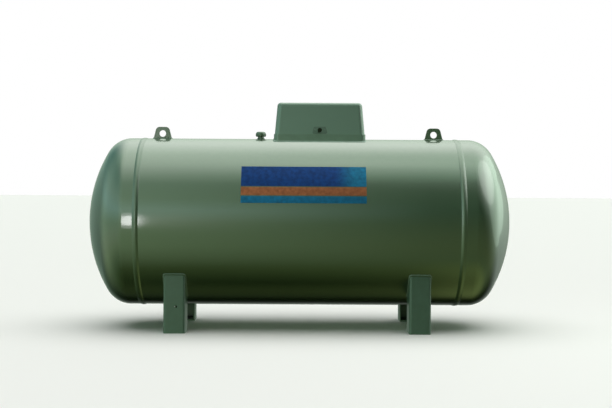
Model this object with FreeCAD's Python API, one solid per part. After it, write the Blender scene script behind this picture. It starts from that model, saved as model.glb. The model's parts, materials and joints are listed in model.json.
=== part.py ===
import FreeCAD, Part
import math
import os

# Above-ground LPG pressure tank: a horizontal steel vessel on four folded legs, with a hinged cover
# over its valves. Millimetres. +Z is up, X runs along the vessel, -Y is the front (the label side).
# The origin is on the ground, under the middle of the vessel.

# Vessel
TANK_DIAMETER = 1000.0
SHELL_LENGTH = 1870.0        # from girth weld to girth weld
WALL = 6.0
HEAD_FLANGE = 76.0           # straight part of a head, between the girth weld and the dish
HEAD_CROWN_RADIUS = 820.0
HEAD_KNUCKLE_RADIUS = 154.0
GROUND_CLEARANCE = 133.0
WELD_WIDTH = 34.0
WELD_HEIGHT = 3.5
SEAM_WIDTH = 20.0
SEAM_ANGLE = 128.0           # place of the lengthwise weld, round from the front, up and over

# Legs: folded U sections, open towards the middle of the vessel
SUPPORT_SHIFT = -12.0        # how far the middle of the legs and lugs lies from the middle of the vessel
LEG_END_SPACE = 228.0        # from a girth weld back to the middle of a leg
LEG_FRONT = 406.0            # from the middle plane to a leg's outer face
LEG_WIDTH = 126.0
LEG_DEPTH = 150.0
LEG_PLATE = 8.0
LEG_BEND = 14.0              # outside radius of the fold
FOOT_PLATE = 8.0
ANCHOR_HOLE_RADIUS = 9.0
EARTH_HOLE_RADIUS = 8.0
EARTH_HOLE_HEIGHT = 155.0
EARTH_HOLE_OFFSET = 9.0      # from the middle of the leg towards the middle of the vessel

# Lifting lugs
LUG_END_SPACE = 115.0        # from a girth weld back to the middle of a lug
LUG_BASE = 110.0
LUG_TOP = 74.0
LUG_HEIGHT = 70.0
LUG_CORNER = 24.0
LUG_PLATE = 12.0
LUG_HOLE_RADIUS = 20.0
LUG_HOLE_HEIGHT = 30.0
LUG_ROOT = 30.0              # how far the plate outline runs below the crown before it is trimmed

# Capped liquid outlet beside the cover
OUTLET_X = -238.0
OUTLET_BOSS_RADIUS = 19.0
OUTLET_BOSS_HEIGHT = 14.0
OUTLET_CAP_RADIUS = 30.0
OUTLET_CAP_HEIGHT = 30.0

# Valve housing: a fixed collar and a hinged lid
COVER_X = 116.0
COLLAR_LENGTH = 546.0
COLLAR_DEPTH = 280.0
COLLAR_CORNER = 27.0
COLLAR_RISE = 26.0           # from the crown of the vessel to the ledge that the lid rests on
COLLAR_PLATE = 4.0
LEDGE_WIDTH = 24.0
RIM_HEIGHT = 12.0            # upstand round the opening, inside the lid
LID_INSET = 5.0              # ledge left showing round the lid
LID_HEIGHT = 189.0
LID_DRAFT = 5.0              # degrees that the lid's walls lean inwards
LID_CORNER = 26.0
LID_EDGE = 22.0
LID_PLATE = 3.0
SEAT_GAP = 0.3

# Lid hinges
HINGE_SPACING = 340.0
KNUCKLE_RADIUS = 7.0
KNUCKLE_LENGTH = 16.0
KNUCKLE_GAP = 0.6
HINGE_PIN_RADIUS = 4.0
PIN_CLEARANCE = 0.08
HINGE_PLATE = 3.0
HINGE_RUNNING_GAP = 1.0
BASE_LEAF_HEIGHT = 26.0
LID_LEAF_HEIGHT = 36.0

# Lock on the lid
LOCK_PLATE_BOTTOM = 92.0
LOCK_PLATE_TOP = 70.0
LOCK_PLATE_HEIGHT = 42.0
LOCK_PLATE_THICKNESS = 4.0
LOCK_PLATE_LIFT = 3.0
LOCK_RADIUS = 13.0
LOCK_PROUD = 9.0
LOCK_BARREL_RADIUS = 9.0
LOCK_BARREL_DEPTH = 22.0
LOCK_CAM_LENGTH = 34.0
LOCK_CAM_WIDTH = 12.0
LOCK_CAM_THICKNESS = 3.0
FLAP_RADIUS = 12.0
FLAP_THICKNESS = 2.5

# Fittings under the lid, in a row along the crown between the two ends of the collar's opening
RELIEF_END_SPACE = 54.0      # from the left end of the opening to the relief valve
SERVICE_END_SPACE = 84.0     # from the right end of the opening to the gas service valve
LEVEL_PLACE = 0.28           # places between those two valves, as shares of the way
FILLER_PLACE = 0.61
BOSS_HEIGHT = 22.0
RELIEF_BOSS_RADIUS = 30.0
RELIEF_FLATS = 52.0          # across the flats of the hexagon
RELIEF_FOOT_HEIGHT = 16.0
RELIEF_RADIUS = 22.0
RELIEF_HEIGHT = 78.0
RELIEF_LIP = 3.0
RAIN_CAP_RADIUS = 29.0
RAIN_CAP_SKIRT = 10.0
RAIN_CAP_RISE = 14.0
LEVEL_BOSS_RADIUS = 34.0
LEVEL_FLANGE = 64.0
LEVEL_FLANGE_CORNER = 9.0
LEVEL_FLANGE_THICKNESS = 12.0
LEVEL_SEAT_RADIUS = 24.0
LEVEL_SEAT_HEIGHT = 8.0
LEVEL_BOLT_SPACING = 47.0
LEVEL_BOLT_FLATS = 11.0
LEVEL_BOLT_HEIGHT = 7.0
DIAL_RADIUS = 27.0
DIAL_HEIGHT = 12.0
FILLER_BOSS_RADIUS = 36.0
FILLER_FLATS = 60.0
FILLER_FOOT_HEIGHT = 20.0
FILLER_STEM_RADIUS = 24.0
FILLER_STEM_HEIGHT = 20.0
FILLER_CAP_RADIUS = 30.0
FILLER_CAP_HEIGHT = 33.0
GRIP_GROOVES = 12
GRIP_GROOVE_RADIUS = 3.0
SERVICE_BOSS_RADIUS = 30.0
SERVICE_FLATS = 46.0
SERVICE_FOOT_HEIGHT = 14.0
SERVICE_RADIUS = 19.0
SERVICE_HEIGHT = 44.0
SPINDLE_RADIUS = 6.0
BONNET_RADIUS = 14.0
BONNET_HEIGHT = 16.0
NECK_HEIGHT = 24.0
GAS_OUTLET_RADIUS = 11.0
GAS_OUTLET_REACH = 46.0
GAS_OUTLET_LIFT = 34.0
HANDWHEEL_RADIUS = 26.0
HANDWHEEL_THICKNESS = 12.0
HANDWHEEL_LOBES = 5
SCALLOP_RADIUS = 8.0
HUB_RADIUS = 10.0
HUB_HEIGHT = 16.0
GAUGE_REACH = 46.0           # from the service valve's middle to the gauge's stem
GAUGE_BRANCH_RADIUS = 7.0
GAUGE_BRANCH_LIFT = 44.0
GAUGE_RISER_RADIUS = 8.0
GAUGE_RISER_BELOW = 10.0     # how far the riser runs below the branch
GAUGE_RISER_LENGTH = 27.0
GAUGE_STEM_RADIUS = 5.0
GAUGE_STEM_LENGTH = 14.0
GAUGE_RADIUS = 25.0
GAUGE_DEPTH = 20.0
GAUGE_RIM = 2.5

# Label in three bands, and data plate, all bare of lettering
LABEL_LENGTH = 716.0
LABEL_X = 21.0
LABEL_THICKNESS = 0.6
UPPER_BAND = (25.8, 41.2)    # degrees above the level of the axis, on the front
MIDDLE_BAND = (19.4, 25.2)
LOWER_BAND = (14.1, 18.8)
DATA_PLATE_LENGTH = 90.0
DATA_PLATE_HEIGHT = 45.0
DATA_PLATE_THICKNESS = 2.0
DATA_PLATE_SETBACK = 28.0    # behind the front of the opening

TANK_RADIUS = TANK_DIAMETER / 2
AXIS_HEIGHT = GROUND_CLEARANCE + TANK_RADIUS
CROWN_HEIGHT = AXIS_HEIGHT + TANK_RADIUS
HALF_SHELL = SHELL_LENGTH / 2
LEG_SPACING = SHELL_LENGTH - 2 * LEG_END_SPACE
LUG_SPACING = SHELL_LENGTH - 2 * LUG_END_SPACE
LEDGE_HEIGHT = CROWN_HEIGHT + COLLAR_RISE
LID_LENGTH = COLLAR_LENGTH - 2 * LID_INSET
LID_DEPTH = COLLAR_DEPTH - 2 * LID_INSET
LID_BASE = LEDGE_HEIGHT + SEAT_GAP
LEAN = math.tan(math.radians(LID_DRAFT))
OPENING_LENGTH = COLLAR_LENGTH - 2 * LEDGE_WIDTH
OPENING_DEPTH = COLLAR_DEPTH - 2 * LEDGE_WIDTH
BOSS_TOP = CROWN_HEIGHT + BOSS_HEIGHT
RELIEF_X = COVER_X - OPENING_LENGTH / 2 + RELIEF_END_SPACE
SERVICE_X = COVER_X + OPENING_LENGTH / 2 - SERVICE_END_SPACE
LEVEL_X = RELIEF_X + LEVEL_PLACE * (SERVICE_X - RELIEF_X)
FILLER_X = RELIEF_X + FILLER_PLACE * (SERVICE_X - RELIEF_X)
HINGE_Y = LID_DEPTH / 2 + HINGE_PLATE + HINGE_RUNNING_GAP + KNUCKLE_RADIUS
HINGE_Z = LEDGE_HEIGHT + KNUCKLE_RADIUS + HINGE_RUNNING_GAP

X_AXIS = FreeCAD.Vector(1, 0, 0)
Y_AXIS = FreeCAD.Vector(0, 1, 0)
Z_AXIS = FreeCAD.Vector(0, 0, 1)


def point(x, y, z):
    return FreeCAD.Vector(x, y, z)


def cylinder(radius, length, start, direction):
    return Part.makeCylinder(radius, length, start, direction)


def surface_height(y, radius=TANK_RADIUS):
    """Height above the ground of the vessel's upper surface at a distance y from its middle plane."""
    return AXIS_HEIGHT + math.sqrt(radius * radius - y * y)


def vessel_body(x_low, x_high):
    """The solid round bar that the vessel's outside fills, used to trim what is welded to it."""
    return cylinder(TANK_RADIUS, x_high - x_low, point(x_low, 0, AXIS_HEIGHT), X_AXIS)


def trim_to_vessel(shape):
    box = shape.BoundBox
    return shape.cut(vessel_body(box.XMin - 1, box.XMax + 1))


def spun(outline, centre_x, centre_y, base):
    """A solid of revolution about a vertical axis. The outline holds (radius, height) pairs."""
    points = [point(centre_x + radius, centre_y, base + height) for radius, height in outline]
    face = Part.Face(Part.makePolygon(points + [points[0]]))
    return face.revolve(point(centre_x, centre_y, base), Z_AXIS, 360)


def rounded_wire(length, depth, corner, centre_x, height):
    """A level rectangle with round corners, as one closed wire."""
    corners = []
    for side_x, side_y in ((1, -1), (1, 1), (-1, 1), (-1, -1)):
        middle = point(centre_x + side_x * (length / 2 - corner), side_y * (depth / 2 - corner), height)
        facing = math.atan2(side_y, side_x)
        corners.append([
            middle + point(math.cos(facing + turn), math.sin(facing + turn), 0) * corner
            for turn in (-math.pi / 4, 0, math.pi / 4)
        ])
    edges = []
    for this, following in zip(corners, corners[1:] + corners[:1]):
        edges.append(Part.Arc(*this).toShape())
        edges.append(Part.LineSegment(this[2], following[0]).toShape())
    return Part.Wire(edges)


def rounded_prism(length, depth, corner, centre_x, low, high):
    face = Part.Face(rounded_wire(length, depth, corner, centre_x, low))
    return face.extrude(point(0, 0, high - low))


def rounded_ring(length, depth, corner, width, inner_corner, low, high):
    """A rectangular ring round the valves, width thick all round."""
    outer = rounded_prism(length, depth, corner, COVER_X, low, high)
    inner = rounded_prism(length - 2 * width, depth - 2 * width, inner_corner, COVER_X, low - 1, high + 1)
    return outer.cut(inner)


# ---------------------------------------------------------------- vessel


def tank_shell():
    outer = cylinder(TANK_RADIUS, SHELL_LENGTH, point(-HALF_SHELL, 0, AXIS_HEIGHT), X_AXIS)
    inner = cylinder(TANK_RADIUS - WALL, SHELL_LENGTH + 2, point(-HALF_SHELL - 1, 0, AXIS_HEIGHT), X_AXIS)
    return outer.cut(inner)


def dish_points(offset):
    """Points of a head's profile, set in from the outside by offset, as (x, radius) from its weld."""
    reach = HEAD_CROWN_RADIUS - HEAD_KNUCKLE_RADIUS
    knuckle_centre_radius = TANK_RADIUS - HEAD_KNUCKLE_RADIUS
    crown_centre_x = HEAD_FLANGE - math.sqrt(reach ** 2 - knuckle_centre_radius ** 2)
    angle = math.asin(knuckle_centre_radius / reach)

    def on_crown(turn):
        radius = HEAD_CROWN_RADIUS - offset
        return (crown_centre_x + radius * math.cos(turn), radius * math.sin(turn))

    def on_knuckle(turn):
        radius = HEAD_KNUCKLE_RADIUS - offset
        return (HEAD_FLANGE + radius * math.cos(turn), knuckle_centre_radius + radius * math.sin(turn))

    return {
        "weld": (0.0, TANK_RADIUS - offset),
        "flange": (HEAD_FLANGE, TANK_RADIUS - offset),
        "knuckle_middle": on_knuckle((math.pi / 2 + angle) / 2),
        "join": on_knuckle(angle),
        "crown_middle": on_crown(angle / 2),
        "apex": on_crown(0.0),
    }


def tank_head(side):
    """A dished end: straight flange, knuckle and crown. Side is -1 for the left end and 1 for the right."""
    outer = dish_points(0.0)
    inner = dish_points(WALL)

    def place(pair):
        return point(side * (HALF_SHELL + pair[0]), 0, AXIS_HEIGHT + pair[1])

    def line(start, end):
        return Part.LineSegment(place(start), place(end)).toShape()

    def arc(start, middle, end):
        return Part.Arc(place(start), place(middle), place(end)).toShape()

    profile = Part.Wire([
        line(outer["weld"], outer["flange"]),
        arc(outer["flange"], outer["knuckle_middle"], outer["join"]),
        arc(outer["join"], outer["crown_middle"], outer["apex"]),
        line(outer["apex"], inner["apex"]),
        arc(inner["apex"], inner["crown_middle"], inner["join"]),
        arc(inner["join"], inner["knuckle_middle"], inner["flange"]),
        line(inner["flange"], inner["weld"]),
        line(inner["weld"], outer["weld"]),
    ])
    return Part.Face(profile).revolve(point(0, 0, AXIS_HEIGHT), X_AXIS, 360)


def girth_weld(side):
    """The raised bead round the joint of the shell and a head."""
    middle = side * HALF_SHELL
    half = WELD_WIDTH / 2
    start = point(middle - half, 0, CROWN_HEIGHT)
    end = point(middle + half, 0, CROWN_HEIGHT)
    top = point(middle, 0, CROWN_HEIGHT + WELD_HEIGHT)
    profile = Part.Wire([Part.Arc(start, top, end).toShape(), Part.LineSegment(end, start).toShape()])
    return Part.Face(profile).revolve(point(0, 0, AXIS_HEIGHT), X_AXIS, 360)


def shell_seam_weld():
    """The bead along the joint of the rolled shell plate, between the girth welds."""
    length = SHELL_LENGTH - WELD_WIDTH
    foot = math.sqrt(TANK_RADIUS ** 2 - SEAM_WIDTH ** 2 / 4)
    arc_start = point(-length / 2, -SEAM_WIDTH / 2, foot)
    arc_end = point(-length / 2, SEAM_WIDTH / 2, foot)
    arc_top = point(-length / 2, 0, TANK_RADIUS + WELD_HEIGHT)
    under = point(-length / 2, 0, TANK_RADIUS)
    profile = Part.Wire([
        Part.Arc(arc_start, arc_top, arc_end).toShape(),
        Part.Arc(arc_end, under, arc_start).toShape(),
    ])
    bar = Part.Face(profile).extrude(point(length, 0, 0))
    bar.rotate(point(0, 0, 0), X_AXIS, 90 - SEAM_ANGLE)
    bar.translate(point(0, 0, AXIS_HEIGHT))
    return bar


# ---------------------------------------------------------------- legs


def leg_x(side):
    """Place of a leg's middle along the vessel. Side is -1 for the left legs and 1 for the right."""
    return SUPPORT_SHIFT + side * LEG_SPACING / 2


def leg_outline(side_x, side_y):
    """The U section of a leg, seen from above, as a face on the foot plate."""
    outer_y = LEG_FRONT
    inner_y = LEG_FRONT - LEG_DEPTH
    half = LEG_WIDTH / 2
    bend = LEG_BEND
    inside_bend = LEG_BEND - LEG_PLATE
    diagonal = math.sqrt(0.5)

    def at(x, y):
        return point(leg_x(side_x) + x, side_y * y, FOOT_PLATE)

    def bend_points(corner_x, corner_y, radius):
        sign = 1 if corner_x > 0 else -1
        centre_x = corner_x - sign * radius
        centre_y = corner_y - radius
        return [
            at(corner_x, centre_y),
            at(centre_x + sign * radius * diagonal, centre_y + radius * diagonal),
            at(centre_x, corner_y),
        ]

    right = bend_points(half, outer_y, bend)
    left = bend_points(-half, outer_y, bend)
    right_in = bend_points(half - LEG_PLATE, outer_y - LEG_PLATE, inside_bend)
    left_in = bend_points(-half + LEG_PLATE, outer_y - LEG_PLATE, inside_bend)
    ends = [at(x, inner_y) for x in (half, half - LEG_PLATE, LEG_PLATE - half, -half)]

    def line(start, end):
        return Part.LineSegment(start, end).toShape()

    return Part.Face(Part.Wire([
        line(ends[0], right[0]),
        Part.Arc(*right).toShape(),
        line(right[2], left[2]),
        Part.Arc(*left).toShape(),
        line(left[0], ends[3]),
        line(ends[3], ends[2]),
        line(ends[2], left_in[0]),
        Part.Arc(*left_in).toShape(),
        line(left_in[2], right_in[2]),
        Part.Arc(*right_in).toShape(),
        line(right_in[0], ends[1]),
        line(ends[1], ends[0]),
    ]))


def leg(side_x, side_y):
    """A leg, trimmed to the vessel. Two legs on one diagonal carry an earthing hole."""
    column = leg_outline(side_x, side_y).extrude(point(0, 0, AXIS_HEIGHT - FOOT_PLATE))
    column = trim_to_vessel(column)
    if side_x * side_y > 0:
        start = point(leg_x(side_x) - side_x * EARTH_HOLE_OFFSET, side_y * (LEG_FRONT + 1), EARTH_HOLE_HEIGHT)
        column = column.cut(cylinder(EARTH_HOLE_RADIUS, LEG_PLATE + 2, start, point(0, -side_y, 0)))
    return column


def anchor_y():
    """Distance from the middle plane to the anchor holes, midway into the open side of a leg."""
    return LEG_FRONT - LEG_DEPTH / 2


def foot_plate(side_x, side_y):
    centre = leg_x(side_x)
    near = side_y * (LEG_FRONT - LEG_DEPTH)
    far = side_y * LEG_FRONT
    plate = Part.makeBox(LEG_WIDTH, LEG_DEPTH, FOOT_PLATE, point(centre - LEG_WIDTH / 2, min(near, far), 0))
    outer_corners = [
        edge for edge in plate.Edges
        if abs(edge.BoundBox.ZLength - FOOT_PLATE) < 0.01 and abs(edge.BoundBox.YMin - far) < 0.01
    ]
    plate = plate.makeFillet(LEG_BEND, outer_corners)
    hole = cylinder(ANCHOR_HOLE_RADIUS, FOOT_PLATE + 2, point(centre, side_y * anchor_y(), -1), Z_AXIS)
    return plate.cut(hole)


# ---------------------------------------------------------------- lugs and outlet


def lifting_lug(side):
    """A lifting plate that stands on the crown, along the vessel, with a hole for a shackle."""
    centre = SUPPORT_SHIFT + side * LUG_SPACING / 2
    slope = (LUG_BASE - LUG_TOP) / 2 / LUG_HEIGHT
    root_half = LUG_BASE / 2 + slope * LUG_ROOT
    corners = [
        point(centre - root_half, -LUG_PLATE / 2, CROWN_HEIGHT - LUG_ROOT),
        point(centre + root_half, -LUG_PLATE / 2, CROWN_HEIGHT - LUG_ROOT),
        point(centre + LUG_TOP / 2, -LUG_PLATE / 2, CROWN_HEIGHT + LUG_HEIGHT),
        point(centre - LUG_TOP / 2, -LUG_PLATE / 2, CROWN_HEIGHT + LUG_HEIGHT),
    ]
    plate = Part.Face(Part.makePolygon(corners + [corners[0]])).extrude(point(0, LUG_PLATE, 0))
    top_edges = [
        edge for edge in plate.Edges
        if edge.BoundBox.ZMin > CROWN_HEIGHT + LUG_HEIGHT - 0.01 and edge.BoundBox.XLength < 0.01
    ]
    plate = plate.makeFillet(LUG_CORNER, top_edges)
    hole = cylinder(LUG_HOLE_RADIUS, LUG_PLATE + 2,
                    point(centre, -LUG_PLATE / 2 - 1, CROWN_HEIGHT + LUG_HOLE_HEIGHT), Y_AXIS)
    return trim_to_vessel(plate.cut(hole))


def boss(radius, height, centre_x):
    """A round boss that stands on the crown, cut to the vessel's curve at its foot."""
    start = surface_height(radius) - 5
    column = cylinder(radius, CROWN_HEIGHT + height - start, point(centre_x, 0, start), Z_AXIS)
    return trim_to_vessel(column)


def outlet_cap():
    """The domed screw cap over the liquid outlet."""
    radius = OUTLET_CAP_RADIUS
    height = OUTLET_CAP_HEIGHT
    base = CROWN_HEIGHT + OUTLET_BOSS_HEIGHT
    body = cylinder(radius, height, point(OUTLET_X, 0, base), Z_AXIS)
    top = [edge for edge in body.Edges if edge.BoundBox.ZMin > base + height - 0.01]
    foot = [edge for edge in body.Edges if edge.BoundBox.ZMax < base + 0.01]
    return body.makeFillet(0.45 * height, top).makeFillet(0.15 * height, foot)


# ---------------------------------------------------------------- valve housing


def valve_collar():
    """The fixed frame round the valves: walls down to the vessel, a ledge for the lid and a rim inside it."""
    low = surface_height(COLLAR_DEPTH / 2) - 5
    rim_inset = LEDGE_WIDTH - COLLAR_PLATE
    rim_corner = LID_CORNER - (rim_inset - LID_INSET)
    opening_corner = rim_corner - COLLAR_PLATE
    walls = rounded_ring(COLLAR_LENGTH, COLLAR_DEPTH, COLLAR_CORNER, COLLAR_PLATE,
                         COLLAR_CORNER - COLLAR_PLATE, low, LEDGE_HEIGHT)
    ledge = rounded_ring(COLLAR_LENGTH, COLLAR_DEPTH, COLLAR_CORNER, LEDGE_WIDTH,
                         opening_corner, LEDGE_HEIGHT - COLLAR_PLATE, LEDGE_HEIGHT)
    rim = rounded_ring(COLLAR_LENGTH - 2 * rim_inset, COLLAR_DEPTH - 2 * rim_inset, rim_corner, COLLAR_PLATE,
                       opening_corner, LEDGE_HEIGHT - COLLAR_PLATE, LEDGE_HEIGHT + RIM_HEIGHT)
    return trim_to_vessel(walls.fuse([ledge, rim]).removeSplitter())


def drafted_block(inset, height):
    """The lid's form, set in by inset all round, with leaning walls and a rounded top edge."""
    length = LID_LENGTH - 2 * inset
    depth = LID_DEPTH - 2 * inset
    corner = LID_CORNER - inset
    shrink = 2 * LEAN * height
    bottom = rounded_wire(length, depth, corner, COVER_X, LID_BASE)
    top = rounded_wire(length - shrink, depth - shrink, corner, COVER_X, LID_BASE + height)
    block = Part.makeLoft([bottom, top], True, True)
    top_edges = [edge for edge in block.Edges if edge.BoundBox.ZMin > LID_BASE + height - 0.01]
    return block.makeFillet(LID_EDGE - inset, top_edges)


def lid_front_frame(lift):
    """A placement on the middle of the lid's front face, lift above its lower edge: +Z up the face."""
    origin = point(COVER_X, -LID_DEPTH / 2 + LEAN * lift, LID_BASE + lift)
    return FreeCAD.Placement(origin, FreeCAD.Rotation(X_AXIS, -LID_DRAFT))


def valve_lid():
    """The pressed steel lid, with the hole for its lock."""
    shell = drafted_block(0.0, LID_HEIGHT).cut(drafted_block(LID_PLATE, LID_HEIGHT - LID_PLATE))
    hole = cylinder(LOCK_BARREL_RADIUS, 3 * LID_PLATE, point(0, -LID_PLATE, 0), Y_AXIS)
    hole.Placement = lid_front_frame(lock_lift()).multiply(hole.Placement)
    return shell.cut(hole)


def lock_lift():
    return LOCK_PLATE_LIFT + LOCK_PLATE_HEIGHT / 2


def lock_plate():
    """The folded plate round the lock, with slanting ends, on the lid's front."""
    low = -LOCK_PLATE_HEIGHT / 2
    high = LOCK_PLATE_HEIGHT / 2
    corners = [
        point(-LOCK_PLATE_BOTTOM / 2, 0, low),
        point(LOCK_PLATE_BOTTOM / 2, 0, low),
        point(LOCK_PLATE_TOP / 2, 0, high),
        point(-LOCK_PLATE_TOP / 2, 0, high),
    ]
    plate = Part.Face(Part.makePolygon(corners + [corners[0]])).extrude(point(0, -LOCK_PLATE_THICKNESS, 0))
    sides = [edge for edge in plate.Edges if edge.BoundBox.YLength > LOCK_PLATE_THICKNESS - 0.01]
    plate = plate.makeFillet(2 * LOCK_PLATE_THICKNESS, sides)
    hole = cylinder(LOCK_BARREL_RADIUS, 4 * LOCK_PLATE_THICKNESS,
                    point(0, -2 * LOCK_PLATE_THICKNESS, 0), Y_AXIS)
    plate = plate.cut(hole)
    plate.Placement = lid_front_frame(lock_lift())
    return plate


def lock_barrel():
    """The lock body: a head outside, a barrel through the lid and a cam inside, turned to the open side."""
    face = -LOCK_PLATE_THICKNESS
    head = cylinder(LOCK_RADIUS, LOCK_PROUD, point(0, face - LOCK_PROUD, 0), Y_AXIS)
    rim = [edge for edge in head.Edges if edge.BoundBox.YMax < face - LOCK_PROUD + 0.01]
    head = head.makeFillet(0.3 * LOCK_PROUD, rim)
    barrel = cylinder(LOCK_BARREL_RADIUS, LOCK_BARREL_DEPTH - face, point(0, face, 0), Y_AXIS)
    cam = Part.makeBox(LOCK_CAM_LENGTH, LOCK_CAM_THICKNESS, LOCK_CAM_WIDTH,
                       point(0, LOCK_BARREL_DEPTH - LOCK_CAM_THICKNESS, -LOCK_CAM_WIDTH / 2))
    lock = head.fuse([barrel, cam]).removeSplitter()
    lock.Placement = lid_front_frame(lock_lift())
    return lock


def lock_flap():
    """The swung-down dust flap over the keyhole."""
    face = -LOCK_PLATE_THICKNESS - LOCK_PROUD
    flap = cylinder(FLAP_RADIUS, FLAP_THICKNESS, point(0, face - FLAP_THICKNESS, 0), Y_AXIS)
    tab = cylinder(0.5 * FLAP_RADIUS, FLAP_THICKNESS,
                   point(-0.45 * FLAP_RADIUS, face - FLAP_THICKNESS, -0.9 * FLAP_RADIUS), Y_AXIS)
    flap = flap.fuse(tab).removeSplitter()
    flap.Placement = lid_front_frame(lock_lift())
    return flap


# ---------------------------------------------------------------- hinges


def hinge_x(side):
    return COVER_X + side * HINGE_SPACING / 2


def knuckle(centre_x, length):
    start = point(centre_x - length / 2, HINGE_Y, HINGE_Z)
    outside = cylinder(KNUCKLE_RADIUS, length, start, X_AXIS)
    return outside, cylinder(HINGE_PIN_RADIUS + PIN_CLEARANCE, length + 2, start - X_AXIS, X_AXIS)


def hinge_base(side):
    """The fixed half of a hinge: a leaf on the back of the collar and the two outer knuckles."""
    centre = hinge_x(side)
    pitch = KNUCKLE_LENGTH + KNUCKLE_GAP
    width = 2 * pitch + KNUCKLE_LENGTH
    leaf = Part.makeBox(width, HINGE_PLATE, BASE_LEAF_HEIGHT + HINGE_Z - LEDGE_HEIGHT,
                        point(centre - width / 2, COLLAR_DEPTH / 2, LEDGE_HEIGHT - BASE_LEAF_HEIGHT))
    relief = cylinder(KNUCKLE_RADIUS + HINGE_RUNNING_GAP, KNUCKLE_LENGTH + 2 * KNUCKLE_GAP,
                      point(centre - KNUCKLE_LENGTH / 2 - KNUCKLE_GAP, HINGE_Y, HINGE_Z), X_AXIS)
    base = leaf.cut(relief)
    bores = []
    for step in (-1, 1):
        outside, bore = knuckle(centre + step * pitch, KNUCKLE_LENGTH)
        base = base.fuse(outside)
        bores.append(bore)
    for bore in bores:
        base = base.cut(bore)
    return base.removeSplitter()


def hinge_leaf(side):
    """The moving half of a hinge: a leaf on the lid's back wall and the middle knuckle."""
    centre = hinge_x(side)
    width = 3 * KNUCKLE_LENGTH + 2 * KNUCKLE_GAP
    leaf = Part.makeBox(width, HINGE_PLATE, LID_LEAF_HEIGHT, point(-width / 2, 0, 0))
    lift = HINGE_RUNNING_GAP
    origin = point(centre, LID_DEPTH / 2 - LEAN * lift, LID_BASE + lift)
    leaf.Placement = FreeCAD.Placement(origin, FreeCAD.Rotation(X_AXIS, LID_DRAFT))
    outside, bore = knuckle(centre, KNUCKLE_LENGTH)
    web = Part.makeBox(KNUCKLE_LENGTH, HINGE_Y - LID_DEPTH / 2 - 1, 0.7 * KNUCKLE_RADIUS,
                       point(centre - KNUCKLE_LENGTH / 2, LID_DEPTH / 2 + 1, HINGE_Z))
    return leaf.fuse([outside, web]).cut(bore).removeSplitter()


def hinge_pin(side):
    pitch = KNUCKLE_LENGTH + KNUCKLE_GAP
    length = 2 * pitch + KNUCKLE_LENGTH + KNUCKLE_RADIUS
    start = point(hinge_x(side) - length / 2, HINGE_Y, HINGE_Z)
    return cylinder(HINGE_PIN_RADIUS, length, start, X_AXIS)


# ---------------------------------------------------------------- fittings under the lid


def hexagon(across_flats, height, centre_x, centre_y, base):
    radius = across_flats / math.sqrt(3)
    points = [
        point(centre_x + radius * math.cos(math.radians(60 * step)),
              centre_y + radius * math.sin(math.radians(60 * step)), base)
        for step in range(6)
    ]
    return Part.Face(Part.makePolygon(points + [points[0]])).extrude(point(0, 0, height))


def relief_valve():
    """The safety relief valve: a hexagon foot and a plain round body with a lip at its top."""
    foot = hexagon(RELIEF_FLATS, RELIEF_FOOT_HEIGHT, RELIEF_X, 0, BOSS_TOP)
    lip_low = RELIEF_HEIGHT - 6 * RELIEF_LIP
    lip_radius = RELIEF_RADIUS + RELIEF_LIP
    outline = [(0, 0), (RELIEF_RADIUS, 0), (RELIEF_RADIUS, lip_low), (lip_radius, lip_low + RELIEF_LIP),
               (lip_radius, RELIEF_HEIGHT), (0, RELIEF_HEIGHT)]
    body = spun(outline, RELIEF_X, 0, BOSS_TOP + RELIEF_FOOT_HEIGHT)
    return foot.fuse(body).removeSplitter()


def relief_cap():
    """The loose plastic rain cap over the relief valve."""
    inner = RELIEF_RADIUS + RELIEF_LIP
    outline = [(0, 0), (inner, 0), (inner, -RAIN_CAP_SKIRT), (RAIN_CAP_RADIUS, -RAIN_CAP_SKIRT),
               (RAIN_CAP_RADIUS, 0.35 * RAIN_CAP_RISE), (inner, 0.8 * RAIN_CAP_RISE), (0, RAIN_CAP_RISE)]
    return spun(outline, RELIEF_X, 0, BOSS_TOP + RELIEF_FOOT_HEIGHT + RELIEF_HEIGHT)


def level_gauge():
    """The float gauge's square flange with its four bolt heads and its raised dial seat."""
    half = LEVEL_FLANGE / 2
    corner = point(LEVEL_X - half, -half, BOSS_TOP)
    plate = Part.makeBox(LEVEL_FLANGE, LEVEL_FLANGE, LEVEL_FLANGE_THICKNESS, corner)
    upright = [edge for edge in plate.Edges if edge.BoundBox.ZLength > LEVEL_FLANGE_THICKNESS - 0.1]
    plate = plate.makeFillet(LEVEL_FLANGE_CORNER, upright)
    top = BOSS_TOP + LEVEL_FLANGE_THICKNESS
    gauge = plate.fuse(cylinder(LEVEL_SEAT_RADIUS, LEVEL_SEAT_HEIGHT, point(LEVEL_X, 0, top), Z_AXIS))
    for step_x in (-0.5, 0.5):
        for step_y in (-0.5, 0.5):
            place_x = LEVEL_X + step_x * LEVEL_BOLT_SPACING
            place_y = step_y * LEVEL_BOLT_SPACING
            gauge = gauge.fuse(hexagon(LEVEL_BOLT_FLATS, LEVEL_BOLT_HEIGHT, place_x, place_y, top))
    return gauge.removeSplitter()


def level_dial():
    """The round dial capsule of the level gauge."""
    bevel = 0.25 * DIAL_HEIGHT
    outline = [(0, 0), (DIAL_RADIUS, 0), (DIAL_RADIUS, DIAL_HEIGHT - bevel),
               (DIAL_RADIUS - bevel, DIAL_HEIGHT), (0, DIAL_HEIGHT)]
    return spun(outline, LEVEL_X, 0, BOSS_TOP + LEVEL_FLANGE_THICKNESS + LEVEL_SEAT_HEIGHT)


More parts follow.
